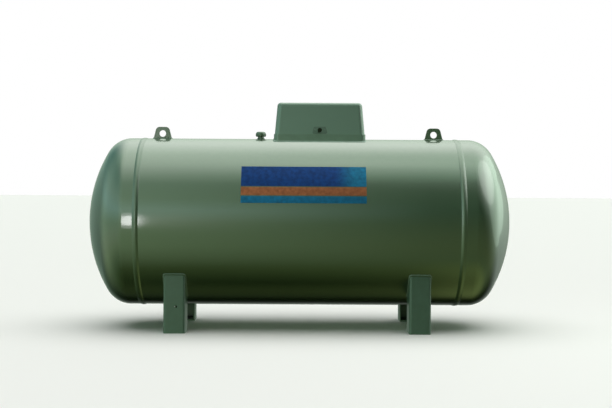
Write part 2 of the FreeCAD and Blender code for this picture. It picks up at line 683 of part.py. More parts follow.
def filler_valve():
    """The filling valve: a hexagon and the stem that the tanker's hose screws on."""
    foot = hexagon(FILLER_FLATS, FILLER_FOOT_HEIGHT, FILLER_X, 0, BOSS_TOP)
    neck = 0.75 * FILLER_STEM_RADIUS
    outline = [(0, 0), (FILLER_STEM_RADIUS, 0), (FILLER_STEM_RADIUS, 0.7 * FILLER_STEM_HEIGHT),
               (neck, 0.8 * FILLER_STEM_HEIGHT), (neck, FILLER_STEM_HEIGHT), (0, FILLER_STEM_HEIGHT)]
    stem = spun(outline, FILLER_X, 0, BOSS_TOP + FILLER_FOOT_HEIGHT)
    return foot.fuse(stem).removeSplitter()


def filler_cap():
    """The screw cap on the filling valve, with its grip grooves."""
    base = BOSS_TOP + FILLER_FOOT_HEIGHT + FILLER_STEM_HEIGHT
    radius = FILLER_CAP_RADIUS
    height = FILLER_CAP_HEIGHT
    outline = [(0, 0), (radius, 0), (radius, 0.73 * height), (0.87 * radius, 0.91 * height),
               (0.4 * radius, height), (0, height)]
    cap = spun(outline, FILLER_X, 0, base)
    reach = radius + 0.4 * GRIP_GROOVE_RADIUS
    for step in range(GRIP_GROOVES):
        turn = 2 * math.pi * step / GRIP_GROOVES
        start = point(FILLER_X + reach * math.cos(turn), reach * math.sin(turn), base - 1)
        cap = cap.cut(cylinder(GRIP_GROOVE_RADIUS, 0.67 * height, start, Z_AXIS))
    return cap


def service_valve():
    """The gas service valve: body, spindle, gas outlet to the right and gauge branch to the front."""
    foot = hexagon(SERVICE_FLATS, SERVICE_FOOT_HEIGHT, SERVICE_X, 0, BOSS_TOP)
    body_base = BOSS_TOP + SERVICE_FOOT_HEIGHT
    body = cylinder(SERVICE_RADIUS, SERVICE_HEIGHT, point(SERVICE_X, 0, body_base), Z_AXIS)
    shoulder = SERVICE_RADIUS - BONNET_RADIUS + 1
    outline = [(0, 0), (SERVICE_RADIUS, 0), (BONNET_RADIUS, shoulder), (BONNET_RADIUS, BONNET_HEIGHT),
               (SPINDLE_RADIUS, BONNET_HEIGHT), (SPINDLE_RADIUS, NECK_HEIGHT), (0, NECK_HEIGHT)]
    neck = spun(outline, SERVICE_X, 0, body_base + SERVICE_HEIGHT)
    outlet_start = point(SERVICE_X, 0, BOSS_TOP + GAS_OUTLET_LIFT)
    outlet = cylinder(GAS_OUTLET_RADIUS, GAS_OUTLET_REACH, outlet_start, X_AXIS)
    branch_start = point(SERVICE_X, 0, BOSS_TOP + GAUGE_BRANCH_LIFT)
    branch = cylinder(GAUGE_BRANCH_RADIUS, GAUGE_REACH, branch_start, point(0, -1, 0))
    riser_start = point(SERVICE_X, -GAUGE_REACH, riser_foot())
    riser = cylinder(GAUGE_RISER_RADIUS, GAUGE_RISER_LENGTH, riser_start, Z_AXIS)
    return foot.fuse([body, neck, outlet, branch, riser]).removeSplitter()


def riser_foot():
    return BOSS_TOP + GAUGE_BRANCH_LIFT - GAUGE_RISER_BELOW


def service_handwheel():
    """The lobed handwheel of the service valve."""
    base = BOSS_TOP + SERVICE_FOOT_HEIGHT + SERVICE_HEIGHT + NECK_HEIGHT
    wheel = cylinder(HANDWHEEL_RADIUS, HANDWHEEL_THICKNESS, point(SERVICE_X, 0, base), Z_AXIS)
    reach = HANDWHEEL_RADIUS + 0.5 * SCALLOP_RADIUS
    for step in range(HANDWHEEL_LOBES):
        turn = 2 * math.pi * step / HANDWHEEL_LOBES
        start = point(SERVICE_X + reach * math.cos(turn), reach * math.sin(turn), base - 1)
        wheel = wheel.cut(cylinder(SCALLOP_RADIUS, HANDWHEEL_THICKNESS + 2, start, Z_AXIS))
    hub = cylinder(HUB_RADIUS, HUB_HEIGHT, point(SERVICE_X, 0, base), Z_AXIS)
    return wheel.fuse(hub).removeSplitter()


def pressure_gauge():
    """The round pressure gauge on the front branch of the service valve, dial to the front."""
    stem_base = riser_foot() + GAUGE_RISER_LENGTH
    front = -GAUGE_REACH - GAUGE_DEPTH / 2
    centre = point(SERVICE_X, -GAUGE_REACH + GAUGE_DEPTH / 2, stem_base + GAUGE_RADIUS)
    case = cylinder(GAUGE_RADIUS, GAUGE_DEPTH, centre, point(0, -1, 0))
    rim = [edge for edge in case.Edges if edge.BoundBox.YMax < front + 0.1]
    case = case.makeFillet(GAUGE_RIM, rim)
    stem = cylinder(GAUGE_STEM_RADIUS, GAUGE_STEM_LENGTH, point(SERVICE_X, -GAUGE_REACH, stem_base), Z_AXIS)
    return case.fuse(stem).removeSplitter()


def data_plate():
    """The bare data plate, welded upright on the vessel inside the collar, in front of the filling valve."""
    place_y = -(OPENING_DEPTH / 2 - DATA_PLATE_SETBACK)
    top = surface_height(place_y) + DATA_PLATE_HEIGHT
    foot = surface_height(place_y) - LID_PLATE
    upright = Part.makeBox(DATA_PLATE_LENGTH, DATA_PLATE_THICKNESS, top - foot,
                           point(FILLER_X - DATA_PLATE_LENGTH / 2, place_y, foot))
    return trim_to_vessel(upright)


def label_band(low_angle, high_angle):
    """A band of the label on the front of the shell, bare of lettering: a thin curved strip."""
    left = LABEL_X - LABEL_LENGTH / 2
    outer = cylinder(TANK_RADIUS + LABEL_THICKNESS, LABEL_LENGTH, point(left, 0, AXIS_HEIGHT), X_AXIS)
    inner = cylinder(TANK_RADIUS, LABEL_LENGTH + 2, point(left - 1, 0, AXIS_HEIGHT), X_AXIS)
    reach = 2 * TANK_RADIUS
    corners = [point(left - 1, 0, AXIS_HEIGHT)]
    for angle in (math.radians(low_angle), math.radians(high_angle)):
        corners.append(point(left - 1, -reach * math.cos(angle), AXIS_HEIGHT + reach * math.sin(angle)))
    wedge = Part.Face(Part.makePolygon(corners + [corners[0]])).extrude(point(LABEL_LENGTH + 2, 0, 0))
    return outer.cut(inner).common(wedge)


# ---------------------------------------------------------------- nodes


def build_nodes():
    nodes = {
        "tank_shell": tank_shell(),
        "shell_seam_weld": shell_seam_weld(),
        "outlet_boss": boss(OUTLET_BOSS_RADIUS, OUTLET_BOSS_HEIGHT, OUTLET_X),
        "outlet_cap": outlet_cap(),
        "valve_collar": valve_collar(),
        "valve_lid": valve_lid(),
        "lock_plate": lock_plate(),
        "lock_barrel": lock_barrel(),
        "lock_flap": lock_flap(),
        "hinge_bases": Part.makeCompound([hinge_base(-1), hinge_base(1)]),
        "hinge_leaves": Part.makeCompound([hinge_leaf(-1), hinge_leaf(1)]),
        "hinge_pins": Part.makeCompound([hinge_pin(-1), hinge_pin(1)]),
        "relief_boss": boss(RELIEF_BOSS_RADIUS, BOSS_HEIGHT, RELIEF_X),
        "relief_valve": relief_valve(),
        "relief_cap": relief_cap(),
        "level_boss": boss(LEVEL_BOSS_RADIUS, BOSS_HEIGHT, LEVEL_X),
        "level_gauge": level_gauge(),
        "level_dial": level_dial(),
        "filler_boss": boss(FILLER_BOSS_RADIUS, BOSS_HEIGHT, FILLER_X),
        "filler_valve": filler_valve(),
        "filler_cap": filler_cap(),
        "service_boss": boss(SERVICE_BOSS_RADIUS, BOSS_HEIGHT, SERVICE_X),
        "service_valve": service_valve(),
        "service_handwheel": service_handwheel(),
        "pressure_gauge": pressure_gauge(),
        "data_plate": data_plate(),
        "label_upper_band": label_band(*UPPER_BAND),
        "label_middle_band": label_band(*MIDDLE_BAND),
        "label_lower_band": label_band(*LOWER_BAND),
    }
    for name, side in (("left", -1), ("right", 1)):
        nodes[name + "_head"] = tank_head(side)
        nodes[name + "_girth_weld"] = girth_weld(side)
        nodes[name + "_lifting_lug"] = lifting_lug(side)
        for row, side_y in (("front", -1), ("rear", 1)):
            nodes[row + "_" + name + "_leg"] = leg(side, side_y)
            nodes[row + "_" + name + "_foot"] = foot_plate(side, side_y)
    return nodes


os.makedirs("parts", exist_ok=True)
for node_name, shape in build_nodes().items():
    if not shape.isValid():
        print("INVALID", node_name)
    print(f"{node_name:20s} solids {len(shape.Solids)} volume {shape.Volume / 1000:10.1f} cm3")
    shape.exportStep(os.path.join("parts", node_name + ".step"))
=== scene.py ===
import json
import math

import bmesh
import bpy
from mathutils import Matrix, Vector

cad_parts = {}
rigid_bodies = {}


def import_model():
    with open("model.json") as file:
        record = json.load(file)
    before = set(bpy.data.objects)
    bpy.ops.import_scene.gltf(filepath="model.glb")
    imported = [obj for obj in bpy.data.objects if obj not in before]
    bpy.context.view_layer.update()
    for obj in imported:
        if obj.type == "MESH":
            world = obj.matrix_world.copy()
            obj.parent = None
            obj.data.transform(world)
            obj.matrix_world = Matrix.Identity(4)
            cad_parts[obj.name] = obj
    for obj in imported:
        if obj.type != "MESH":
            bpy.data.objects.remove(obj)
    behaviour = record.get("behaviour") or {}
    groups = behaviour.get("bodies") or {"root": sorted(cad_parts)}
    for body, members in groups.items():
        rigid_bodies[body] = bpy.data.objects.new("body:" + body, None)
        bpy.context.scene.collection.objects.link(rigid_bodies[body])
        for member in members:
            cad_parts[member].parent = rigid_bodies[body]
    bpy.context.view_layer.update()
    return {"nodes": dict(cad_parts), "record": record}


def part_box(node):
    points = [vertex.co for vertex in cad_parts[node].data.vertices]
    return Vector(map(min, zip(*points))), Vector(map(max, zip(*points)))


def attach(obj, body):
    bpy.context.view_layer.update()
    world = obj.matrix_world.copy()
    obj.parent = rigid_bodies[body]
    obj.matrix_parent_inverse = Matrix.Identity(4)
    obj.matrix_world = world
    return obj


bl_info = {
    "name": "Gas Tank Finish",
    "version": (1, 0, 0),
    "blender": (4, 5, 0),
    "location": "3D View > Sidebar > Gas Tank",
    "description": "Paint, weld beads, small parts, lights and camera for a horizontal gas tank on four legs",
    "category": "Object",
}

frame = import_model()

MM = 0.001
WAVE_REPEAT = math.pi / 10      # metres from one band of a wave texture to the next, at scale 1
MIX_A, MIX_B, MIXED = 6, 7, 2    # the colour sockets of a Mix node, which share their names with others
ALONG = Vector((1, 0, 0))
BACK = Vector((0, 1, 0))
UP = Vector((0, 0, 1))


# ---------------------------------------------------------------- the frame's own sizes


def middle(node):
    low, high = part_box(node)
    return (low + high) / 2


def extent(node):
    low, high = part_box(node)
    return high - low


VESSEL_RADIUS = extent("tank_shell").z / 2
AXIS_HEIGHT = middle("tank_shell").z
FOOT_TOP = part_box("front_left_foot")[1].z
LID_LOW, LID_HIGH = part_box("valve_lid")
COLLAR_LOW, COLLAR_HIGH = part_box("valve_collar")
HINGE = frame["record"]["behaviour"]["joints"][0]
LID_DRAFT = math.radians(5)


def on_vessel(x, y, side=1):
    """The place on the vessel straight above or below a point of the plan."""
    return Vector((x, y, AXIS_HEIGHT + side * math.sqrt(VESSEL_RADIUS ** 2 - y * y)))


def off_vessel(place):
    """The direction straight out of the shell at a place on it."""
    return Vector((0, place.y, place.z - AXIS_HEIGHT)).normalized()


# ---------------------------------------------------------------- colours, nodes and materials


def linear(code):
    """An sRGB colour such as #4a5d3e as the linear red, green, blue and alpha that Blender works in."""
    parts = [int(code[place:place + 2], 16) / 255 for place in (1, 3, 5)]
    return [part / 12.92 if part <= 0.04045 else ((part + 0.055) / 1.055) ** 2.4 for part in parts] + [1.0]


def shaded(colour, factor):
    return [factor * part for part in colour[:3]] + [1.0]


def add_node(tree, kind, inputs=None, stops=None, **settings):
    """Adds and sets a shader node, fills its inputs with values or links, and its ramp with stops."""
    node = tree.nodes.new("ShaderNode" + kind)
    for name, value in settings.items():
        setattr(node, name, value)
    for key, value in (inputs or {}).items():
        if isinstance(value, bpy.types.NodeSocket):
            tree.links.new(value, node.inputs[key])
        else:
            node.inputs[key].default_value = value
    if stops:
        elements = node.color_ramp.elements
        while len(elements) < len(stops):
            elements.new(0.5)
        for element, (position, colour) in zip(elements, stops):
            element.position = position
            element.color = colour
    return node


def new_material(name):
    """An empty material, its node tree, and the place on the object in metres that its patterns read."""
    material = bpy.data.materials.new(name)
    material.use_nodes = True
    tree = material.node_tree
    tree.nodes.clear()
    return material, tree, add_node(tree, "TexCoord").outputs["Object"]


def close_material(material, tree, inputs):
    """Gives a material the shader that its layers lead to, and returns it."""
    shader = add_node(tree, "BsdfPrincipled", inputs)
    add_node(tree, "OutputMaterial", {"Surface": shader.outputs["BSDF"]})
    return material


def cloudy(tree, place, size, detail, colour, other):
    """Two colours that give way to each other in patches of a size."""
    cloud = add_node(tree, "TexNoise", {"Vector": place, "Scale": 1 / size, "Detail": detail})
    tone = add_node(tree, "Mix", {"Factor": cloud.outputs[0], MIX_A: colour, MIX_B: other}, data_type="RGBA")
    return tone.outputs[MIXED]


def lumpy(tree, place, size, detail, strength, height, under=None):
    """The way a surface faces over lumps of a size and a height, and over coarser ones under them."""
    lumps = add_node(tree, "TexNoise", {"Vector": place, "Scale": 1 / size, "Detail": detail})
    inputs = {"Height": lumps.outputs[0], "Strength": strength, "Distance": height}
    if under is not None:
        inputs["Normal"] = under
    return add_node(tree, "Bump", inputs).outputs[0]


def gloss_enamel(name, paint, wave=0.35, peel=0.05, roughness=0.3, coat=1.0, dust_and_top_light=0.1):
    """Sprayed enamel on rolled steel plate, a wet shine over faint plate waves, orange peel, and a pale layer
    on the upward faces that is partly dust and partly painted light from above.

    The plate's waves run along the vessel as the rolls left them, so reflections stretch into streaks.
    """
    material, tree, place = new_material(name)
    rolled = add_node(tree, "Mapping", {"Vector": place, "Scale": (0.12, 1.0, 1.0)}).outputs[0]
    waves = lumpy(tree, rolled, 110 * MM, 1.0, wave, 1.0 * MM)
    skin = lumpy(tree, place, 9 * MM, 1.5, peel, 0.4 * MM, waves)
    tone = cloudy(tree, place, 260 * MM, 3.0, shaded(paint, 0.93), shaded(paint, 1.07))
    # Upward faces turn towards a pale grey in blotches: partly settled dust, partly painted light from above.
    facing = add_node(tree, "NewGeometry").outputs["Normal"]
    upward = add_node(tree, "SeparateXYZ", {"Vector": facing}).outputs["Z"]
    facing_up_share = add_node(tree, "MapRange", {"Value": upward, "From Min": 0.55, "From Max": 1.0, "To Max": dust_and_top_light})
    pale_top_blotches = add_node(tree, "TexNoise", {"Vector": place, "Scale": 1 / (30 * MM), "Detail": 4.0})
    pale_top_mask = add_node(tree, "Math", {0: facing_up_share.outputs[0], 1: pale_top_blotches.outputs[0]}, operation="MULTIPLY")
    dusted_and_top_lit = add_node(tree, "Mix", {
        "Factor": pale_top_mask.outputs[0], MIX_A: tone, MIX_B: linear("#a9aa98")}, data_type="RGBA")
    return close_material(material, tree, {
        "Base Color": dusted_and_top_lit.outputs[MIXED], "Roughness": roughness, "IOR": 1.5, "Coat Weight": coat,
        "Coat Roughness": 0.06, "Coat IOR": 1.5, "Normal": skin, "Coat Normal": skin})


def weld_enamel(name, paint):
    """Enamel over a run weld: the same paint, darker in the hollows between lumps as painted shade, and lumpy
    with fine spatter.
    """
    material, tree, place = new_material(name)
    spatter = lumpy(tree, place, 4 * MM, 2.0, 0.3, 0.6 * MM)
    return close_material(material, tree, {
        # The colour follows the noise of the lumps and darkens where they are low: painted shade in the
        # hollows.
        "Base Color": cloudy(tree, place, 4 * MM, 2.0, shaded(paint, 0.78), shaded(paint, 1.0)),
        "Roughness": 0.4, "Coat Weight": 0.6, "Coat Roughness": 0.12, "Normal": spatter,
        "Coat Normal": spatter})


def girth_enamel(paint, ripple_pitch):
    """Enamel over a machine-run girth weld: fine even ripples across the bead all the way round."""
    material, tree, place = new_material("enamel_over_girth_weld")
    parts = add_node(tree, "SeparateXYZ", {"Vector": place})
    height = add_node(tree, "Math", {0: parts.outputs["Z"], 1: AXIS_HEIGHT}, operation="SUBTRACT")
    angle = add_node(tree, "Math", {0: height.outputs[0], 1: parts.outputs["Y"]}, operation="ARCTAN2")
    ripples = 2 * math.pi * VESSEL_RADIUS / ripple_pitch
    phase = add_node(tree, "Math", {0: angle.outputs[0], 1: round(ripples)}, operation="MULTIPLY")
    wobble = add_node(tree, "TexNoise", {"Vector": place, "Scale": 1 / (14 * MM), "Detail": 2.0})
    shifted = add_node(tree, "Math", {
        0: wobble.outputs[0], 1: 5.0, 2: phase.outputs[0]}, operation="MULTIPLY_ADD")
    wave = add_node(tree, "Math", {0: shifted.outputs[0]}, operation="SINE")
    bump = add_node(tree, "Bump", {"Height": wave.outputs[0], "Strength": 0.22, "Distance": 0.5 * MM})
    return close_material(material, tree, {
        "Base Color": cloudy(tree, place, 14 * MM, 2.0, shaded(paint, 0.88), shaded(paint, 1.04)),
        "Roughness": 0.34, "Coat Weight": 0.9, "Coat Roughness": 0.2, "Normal": bump.outputs[0],
        "Coat Normal": bump.outputs[0]})


def worn_enamel(name, paint, roughness, coat, wear):
    """Sprayed enamel on cut and folded plate: satin, thin on its edges, where some steel shows through."""
    material, tree, place = new_material(name)
    peel = lumpy(tree, place, 3 * MM, 2.0, 0.12, 0.3 * MM)
    tone = cloudy(tree, place, 45 * MM, 4.0, shaded(paint, 0.8), shaded(paint, 1.16))
    rounded = add_node(tree, "Bevel", {"Radius": 3 * MM}, samples=4).outputs[0]
    flat = add_node(tree, "NewGeometry").outputs["Normal"]
    likeness = add_node(tree, "VectorMath", {0: rounded, 1: flat}, operation="DOT_PRODUCT")
    edge = add_node(tree, "MapRange", {
        "Value": likeness.outputs["Value"], "From Min": 0.97, "From Max": 0.80})
    chips = add_node(tree, "TexNoise", {"Vector": place, "Scale": 1 / (6 * MM), "Detail": 5.0})
    chipped = add_node(tree, "MapRange", {
        "Value": chips.outputs[0], "From Min": 0.5, "From Max": 0.66, "To Max": wear})
    bare = add_node(tree, "Math", {0: edge.outputs[0], 1: chipped.outputs[0]}, operation="MULTIPLY")
    colour = add_node(tree, "Mix", {
        "Factor": bare.outputs[0], MIX_A: tone, MIX_B: linear("#8b8a80")}, data_type="RGBA")
    return close_material(material, tree, {
        "Base Color": colour.outputs[MIXED], "Roughness": roughness, "Coat Weight": coat,
        "Coat Roughness": 0.16, "Normal": peel, "Coat Normal": peel})


def turned_metal(name, colour, roughness, tool_pitch, tarnish):
    """Machined metal: fine turning rings round the upright axis, and a cloudy tarnish in patches."""
    material, tree, place = new_material(name)
    rings = add_node(tree, "TexWave", {
        "Vector": place, "Scale": WAVE_REPEAT / tool_pitch, "Distortion": 0.4, "Detail": 1.0},
        bands_direction="Z")
    bump = add_node(tree, "Bump", {"Height": rings.outputs["Fac"], "Strength": 0.15, "Distance": 0.15 * MM})
    cloud = add_node(tree, "TexNoise", {"Vector": place, "Scale": 1 / (11 * MM), "Detail": 5.0})
    patches = add_node(tree, "MapRange", {"Value": cloud.outputs[0], "From Min": 0.35, "From Max": 0.7})
    tone = add_node(tree, "Mix", {
        "Factor": patches.outputs[0], MIX_A: colour, MIX_B: tarnish}, data_type="RGBA")
    dull = add_node(tree, "MapRange", {
        "Value": cloud.outputs[0], "To Min": roughness, "To Max": roughness + 0.22})
    return close_material(material, tree, {
        "Base Color": tone.outputs[MIXED], "Metallic": 1.0, "Roughness": dull.outputs[0],
        "Normal": bump.outputs[0]})


def brushed_sheet(name, colour, grain_length, grain_width):
    """Brushed sheet steel: long fine scratches one way that smear its reflections."""
    material, tree, place = new_material(name)
    drawn = add_node(tree, "Mapping", {
        "Vector": place, "Scale": (1 / grain_length, 1 / grain_width, 1 / grain_width)}).outputs[0]
    return close_material(material, tree, {
        "Base Color": cloudy(tree, drawn, 1.0, 3.0, shaded(colour, 0.8), shaded(colour, 1.12)),
        "Metallic": 1.0, "Roughness": 0.34, "Normal": lumpy(tree, drawn, 1.0, 3.0, 0.12, 0.1 * MM)})


def cast_alloy():
    """Die-cast aluminium, tumbled: a dull pale grey skin with fine pits and a few darker stains."""
    material, tree, place = new_material("tumbled_cast_aluminium")
    return close_material(material, tree, {
        "Base Color": cloudy(tree, place, 16 * MM, 3.0, linear("#b9bab8"), linear("#7f8180")),
        "Metallic": 0.9, "Roughness": 0.5, "Normal": lumpy(tree, place, 1.2 * MM, 4.0, 0.3, 0.25 * MM)})


def moulded_plastic(name, colour, grain, roughness):
    """Injection-moulded plastic: one deep colour with a fine even grain and sun-bleached thin patches."""
    material, tree, place = new_material(name)
    return close_material(material, tree, {
        "Base Color": cloudy(tree, place, 14 * MM, 3.0, shaded(colour, 0.85), shaded(colour, 1.2)),
        "Roughness": roughness, "IOR": 1.5, "Normal": lumpy(tree, place, grain, 2.0, 0.25, 0.12 * MM)})


def printed_film(name, colour, far_colour, from_x, to_x, clouds=0.25):
    """Printed vinyl film stuck on the paint: smooth with little gloss, its ink cloudy and slightly faded.

    The ink turns to a second colour between two places along the vessel; where that colour is the ink
    darkened, it is painted shade.
    """
    material, tree, place = new_material(name)
    x = add_node(tree, "SeparateXYZ", {"Vector": place}).outputs["X"]
    to_far_colour = add_node(tree, "MapRange", {
        "Value": x, "From Min": from_x, "From Max": to_x}, interpolation_type="SMOOTHSTEP")
    ink = add_node(tree, "Mix", {
        "Factor": to_far_colour.outputs[0], MIX_A: colour, MIX_B: far_colour}, data_type="RGBA")
    cloud = add_node(tree, "TexNoise", {"Vector": place, "Scale": 1 / (22 * MM), "Detail": 3.0})
    depth = add_node(tree, "MapRange", {
        "Value": cloud.outputs[0], "From Min": 0.3, "From Max": 0.7, "To Min": 1 - clouds,
        "To Max": 1 + clouds})
    worn = add_node(tree, "VectorMath", {
        0: ink.outputs[MIXED], "Scale": depth.outputs[0]}, operation="SCALE")
    return close_material(material, tree, {
        "Base Color": worn.outputs[0], "Roughness": 0.5, "IOR": 1.45, "Specular IOR Level": 0.06,
        "Normal": lumpy(tree, place, 35 * MM, 1.0, 0.15, 0.5 * MM)})


def seal_rubber():
    """Extruded EPDM rubber: nearly black, matt, with a bloom of dust and fine lines from the die."""
    material, tree, place = new_material("extruded_epdm_rubber")
    lines = add_node(tree, "TexWave", {
        "Vector": place, "Scale": WAVE_REPEAT / (1.5 * MM), "Distortion": 0.5}, bands_direction="Z")
    bump = add_node(tree, "Bump", {"Height": lines.outputs["Fac"], "Strength": 0.2, "Distance": 0.2 * MM})
    return close_material(material, tree, {
        "Base Color": cloudy(tree, place, 25 * MM, 4.0, linear("#141414"), linear("#3a3a37")),
        "Roughness": 0.75, "Normal": bump.outputs[0]})


def clear_window():
    """Moulded clear polycarbonate over a dial: bright soft highlights, the dial plain beneath."""
    material, tree, place = new_material("moulded_clear_polycarbonate")
    haze = add_node(tree, "TexNoise", {"Vector": place, "Scale": 1 / (8 * MM), "Detail": 3.0})
    rough = add_node(tree, "MapRange", {"Value": haze.outputs[0], "To Min": 0.03, "To Max": 0.14})
    return close_material(material, tree, {
        "Base Color": linear("#f4f7f5"), "Roughness": rough.outputs[0], "IOR": 1.58,
        "Transmission Weight": 1.0, "Alpha": 0.35})


def studio_paper():
    """Rolled seamless studio paper: matt and nearly white, with a trace of fibre."""
    material, tree, place = new_material("rolled_studio_paper")
    return close_material(material, tree, {
        "Base Color": linear("#ecebe8"), "Roughness": 0.9,
        "Normal": lumpy(tree, place, 3 * MM, 2.0, 0.05, MM)})


def dress(material, *nodes):
    """Gives CAD nodes their finish."""
    for name in nodes:
        for slot in frame["nodes"][name].material_slots:
            slot.material = material


# ---------------------------------------------------------------- meshes


def make_piece(name, bm, material, body="tank", smooth=math.radians(35)):
    """Closes a mesh into a piece that rides on a body and takes its finish from a slot."""
    bmesh.ops.recalc_face_normals(bm, faces=bm.faces)
    mesh = bpy.data.meshes.new(name)
    bm.to_mesh(mesh)
    bm.free()
    mesh.materials.append(material)
    mesh.shade_smooth()
    mesh.set_sharp_from_angle(angle=smooth)
    piece = bpy.data.objects.new(name, mesh)
    bpy.context.scene.collection.objects.link(piece)
    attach(piece, body)
    return piece


def facing_matrix(place, ahead, upward=None):
    """A placement whose Z axis points ahead, with its Y axis as near to upward as it can be."""
    ahead = ahead.normalized()
    upward = upward or (BACK if abs(ahead.z) > 0.9 else UP)
    side = upward.cross(ahead).normalized()
    matrix = Matrix((side, ahead.cross(side), ahead)).transposed().to_4x4()
    matrix.translation = place
    return matrix


def add_dome(bm, place, ahead, radius, height, segments=16):
    """A low dome, such as a rivet's head, on a surface."""
    matrix = facing_matrix(place, ahead) @ Matrix.Diagonal((radius, radius, height, 1))
    made = bmesh.ops.create_uvsphere(bm, u_segments=segments, v_segments=8, radius=1, matrix=matrix)
    return made["verts"]


def add_disc(bm, place, ahead, radius, thickness, bevel=0.0, segments=32, upward=UP):
    """A round plate that stands out of a surface, its front edge bevelled."""
    matrix = facing_matrix(place + ahead * thickness / 2, ahead, upward)
    made = bmesh.ops.create_cone(bm, cap_ends=True, segments=segments, radius1=radius, radius2=radius,
                                 depth=thickness, matrix=matrix)
    if bevel:
        front = [edge for edge in {e for v in made["verts"] for e in v.link_edges}
                 if all((v.co - place).dot(ahead) > thickness * 0.9 for v in edge.verts)]
        bmesh.ops.bevel(bm, geom=front, offset=bevel, affect="EDGES", segments=2, profile=0.5, material=-1)
    return made["verts"]


def add_block(bm, place, size, turn=None, bevel=0.0):
    """A block about a place, its edges bevelled, turned by a matrix where one is given."""
    matrix = Matrix.Translation(place) @ (turn or Matrix.Identity(4)) @ Matrix.Diagonal((*size, 1))
    made = bmesh.ops.create_cube(bm, size=1, matrix=matrix)
    if bevel:
        edges = list({edge for vert in made["verts"] for edge in vert.link_edges})
        bmesh.ops.bevel(bm, geom=edges, offset=bevel, affect="EDGES", segments=2, profile=0.5, material=-1)


def add_ring(bm, place, ahead, outline, segments=48):
    """A ring turned about an axis from an outline of (radius, distance ahead) pairs."""
    matrix = facing_matrix(place, ahead)
    verts = [bm.verts.new(matrix @ Vector((radius, 0, reach))) for radius, reach in outline]
    edges = [bm.edges.new((verts[index], verts[(index + 1) % len(verts)])) for index in range(len(verts))]
    bmesh.ops.spin(bm, geom=verts + edges, cent=place, axis=ahead, angle=2 * math.pi, steps=segments,
                   use_merge=True, use_duplicate=False)


# ---------------------------------------------------------------- weld beads


def bent_path(corners, bend, closed=False, fine=12):
    """Points along a line through corners, each corner rounded off over the bend's length."""
    points = [] if closed else [corners[0]]
    count = len(corners)
    for index in range(count if closed else count - 2):
        before, corner, after = (corners[(index + step) % count] for step in range(3))
        start = corner + (before - corner).normalized() * bend
        end = corner + (after - corner).normalized() * bend
        for step in range(fine + 1):
            part = step / fine
            points.append(start * (1 - part) ** 2 + corner * 2 * part * (1 - part) + end * part ** 2)
    points.append(points[0] if closed else corners[-1])
    return points


def evenly(points, pitch):
    """Places at an even pitch along a line of points, each with the direction of the line there."""
    places = []
    left_over = 0.0
    for start, end in zip(points, points[1:]):
        length = (end - start).length
        if length < 1e-9:
            continue
        direction = (end - start) / length
        travel = left_over
        while travel < length:
            places.append((start + direction * travel, direction))
            travel += pitch
        left_over = travel - length
    return places


def add_ripple(bm, place, along, outward, size):
    """One ripple of a weld bead: a ball flattened to length, half width and height."""
    side = outward.cross(along).normalized()
    matrix = Matrix((along.normalized() * size[0], side * size[1], outward.normalized() * size[2]))
    matrix = matrix.transposed().to_4x4()
    matrix.translation = place
    bmesh.ops.create_uvsphere(bm, u_segments=8, v_segments=5, radius=1, matrix=matrix)


def add_bead(bm, plan, ground, settings):
    """A weld along a line of the plan, in the corner between an upright wall and the ground at its foot.

    The line runs clockwise round the wall, seen from above, so its left hand points away from the wall.
    Ground gives the foot's place and the direction out of the surface there.
    """
    size = (1.15 * settings.ripple_pitch, settings.bead_width / 2, settings.bead_height)
    for place, direction in evenly(plan, settings.ripple_pitch):
        foot, lift = ground(place.x, place.y)
        outward = (Vector((-direction.y, direction.x, 0)) + lift).normalized()
        along = direction - outward * direction.dot(outward)
        add_ripple(bm, foot, along, outward, size)


def vessel_top(x, y):
    foot = on_vessel(x, y)
    return foot, off_vessel(foot)


def vessel_underside(x, y):
    foot = on_vessel(x, y, -1)
    return foot, off_vessel(foot)


def on_foot_plate(x, y):
    return Vector((x, y, FOOT_TOP)), UP


def round_plan(centre_x, radius):
    """A circle of the plan about a point of the crown, clockwise."""
    steps = 90
    return [Vector((centre_x + radius * math.cos(-2 * math.pi * step / steps),
                    radius * math.sin(-2 * math.pi * step / steps), 0)) for step in range(steps + 1)]


def box_plan(low, high, bend):
    """A rectangle of the plan with bent corners, clockwise."""
    corners = [Vector((high.x, high.y, 0)), Vector((high.x, low.y, 0)),
               Vector((low.x, low.y, 0)), Vector((low.x, high.y, 0))]
    return bent_path(corners, bend, closed=True)


# ---------------------------------------------------------------- what a user can change


def colour_property(name, description, code):
    return bpy.props.FloatVectorProperty(
        name=name, description=description, default=linear(code)[:3], subtype="COLOR", size=3)


def length_property(name, description, millimetres):
    return bpy.props.FloatProperty(
        name=name, description=description, default=millimetres * MM, unit="LENGTH")


def angle_property(name, description, degrees):
    return bpy.props.FloatProperty(
        name=name, description=description, default=math.radians(degrees), subtype="ANGLE")


class FINISH_PaintSettings(bpy.types.PropertyGroup):
    vessel: colour_property("Vessel", "Enamel of the vessel", "#385138")
    legs: colour_property("Legs", "Enamel of the legs", "#3a5649")
    cover: colour_property("Cover", "Enamel of the lid and the collar", "#668573")
    label_dark: colour_property("Label, dark", "Ink of the label's upper band", "#0a4184")
    label_end: colour_property("Label, end", "Ink at the right end of the upper band", "#13789e")
    label_warm: colour_property("Label, warm", "Ink of the label's middle band", "#b47348")
    label_pale: colour_property("Label, pale", "Ink of the label's lower band", "#1f84ae")


class FINISH_WeldSettings(bpy.types.PropertyGroup):
    bead_width: length_property("Bead width", "Width of a hand-run fillet weld", 14)
    bead_height: length_property("Bead height", "How far a fillet weld stands out of its corner", 5)
    ripple_pitch: length_property("Ripple pitch", "Distance from one ripple of a weld to the next", 6)
    girth_pitch: length_property("Girth pitch", "Distance between ripples of a machine-run weld", 7)


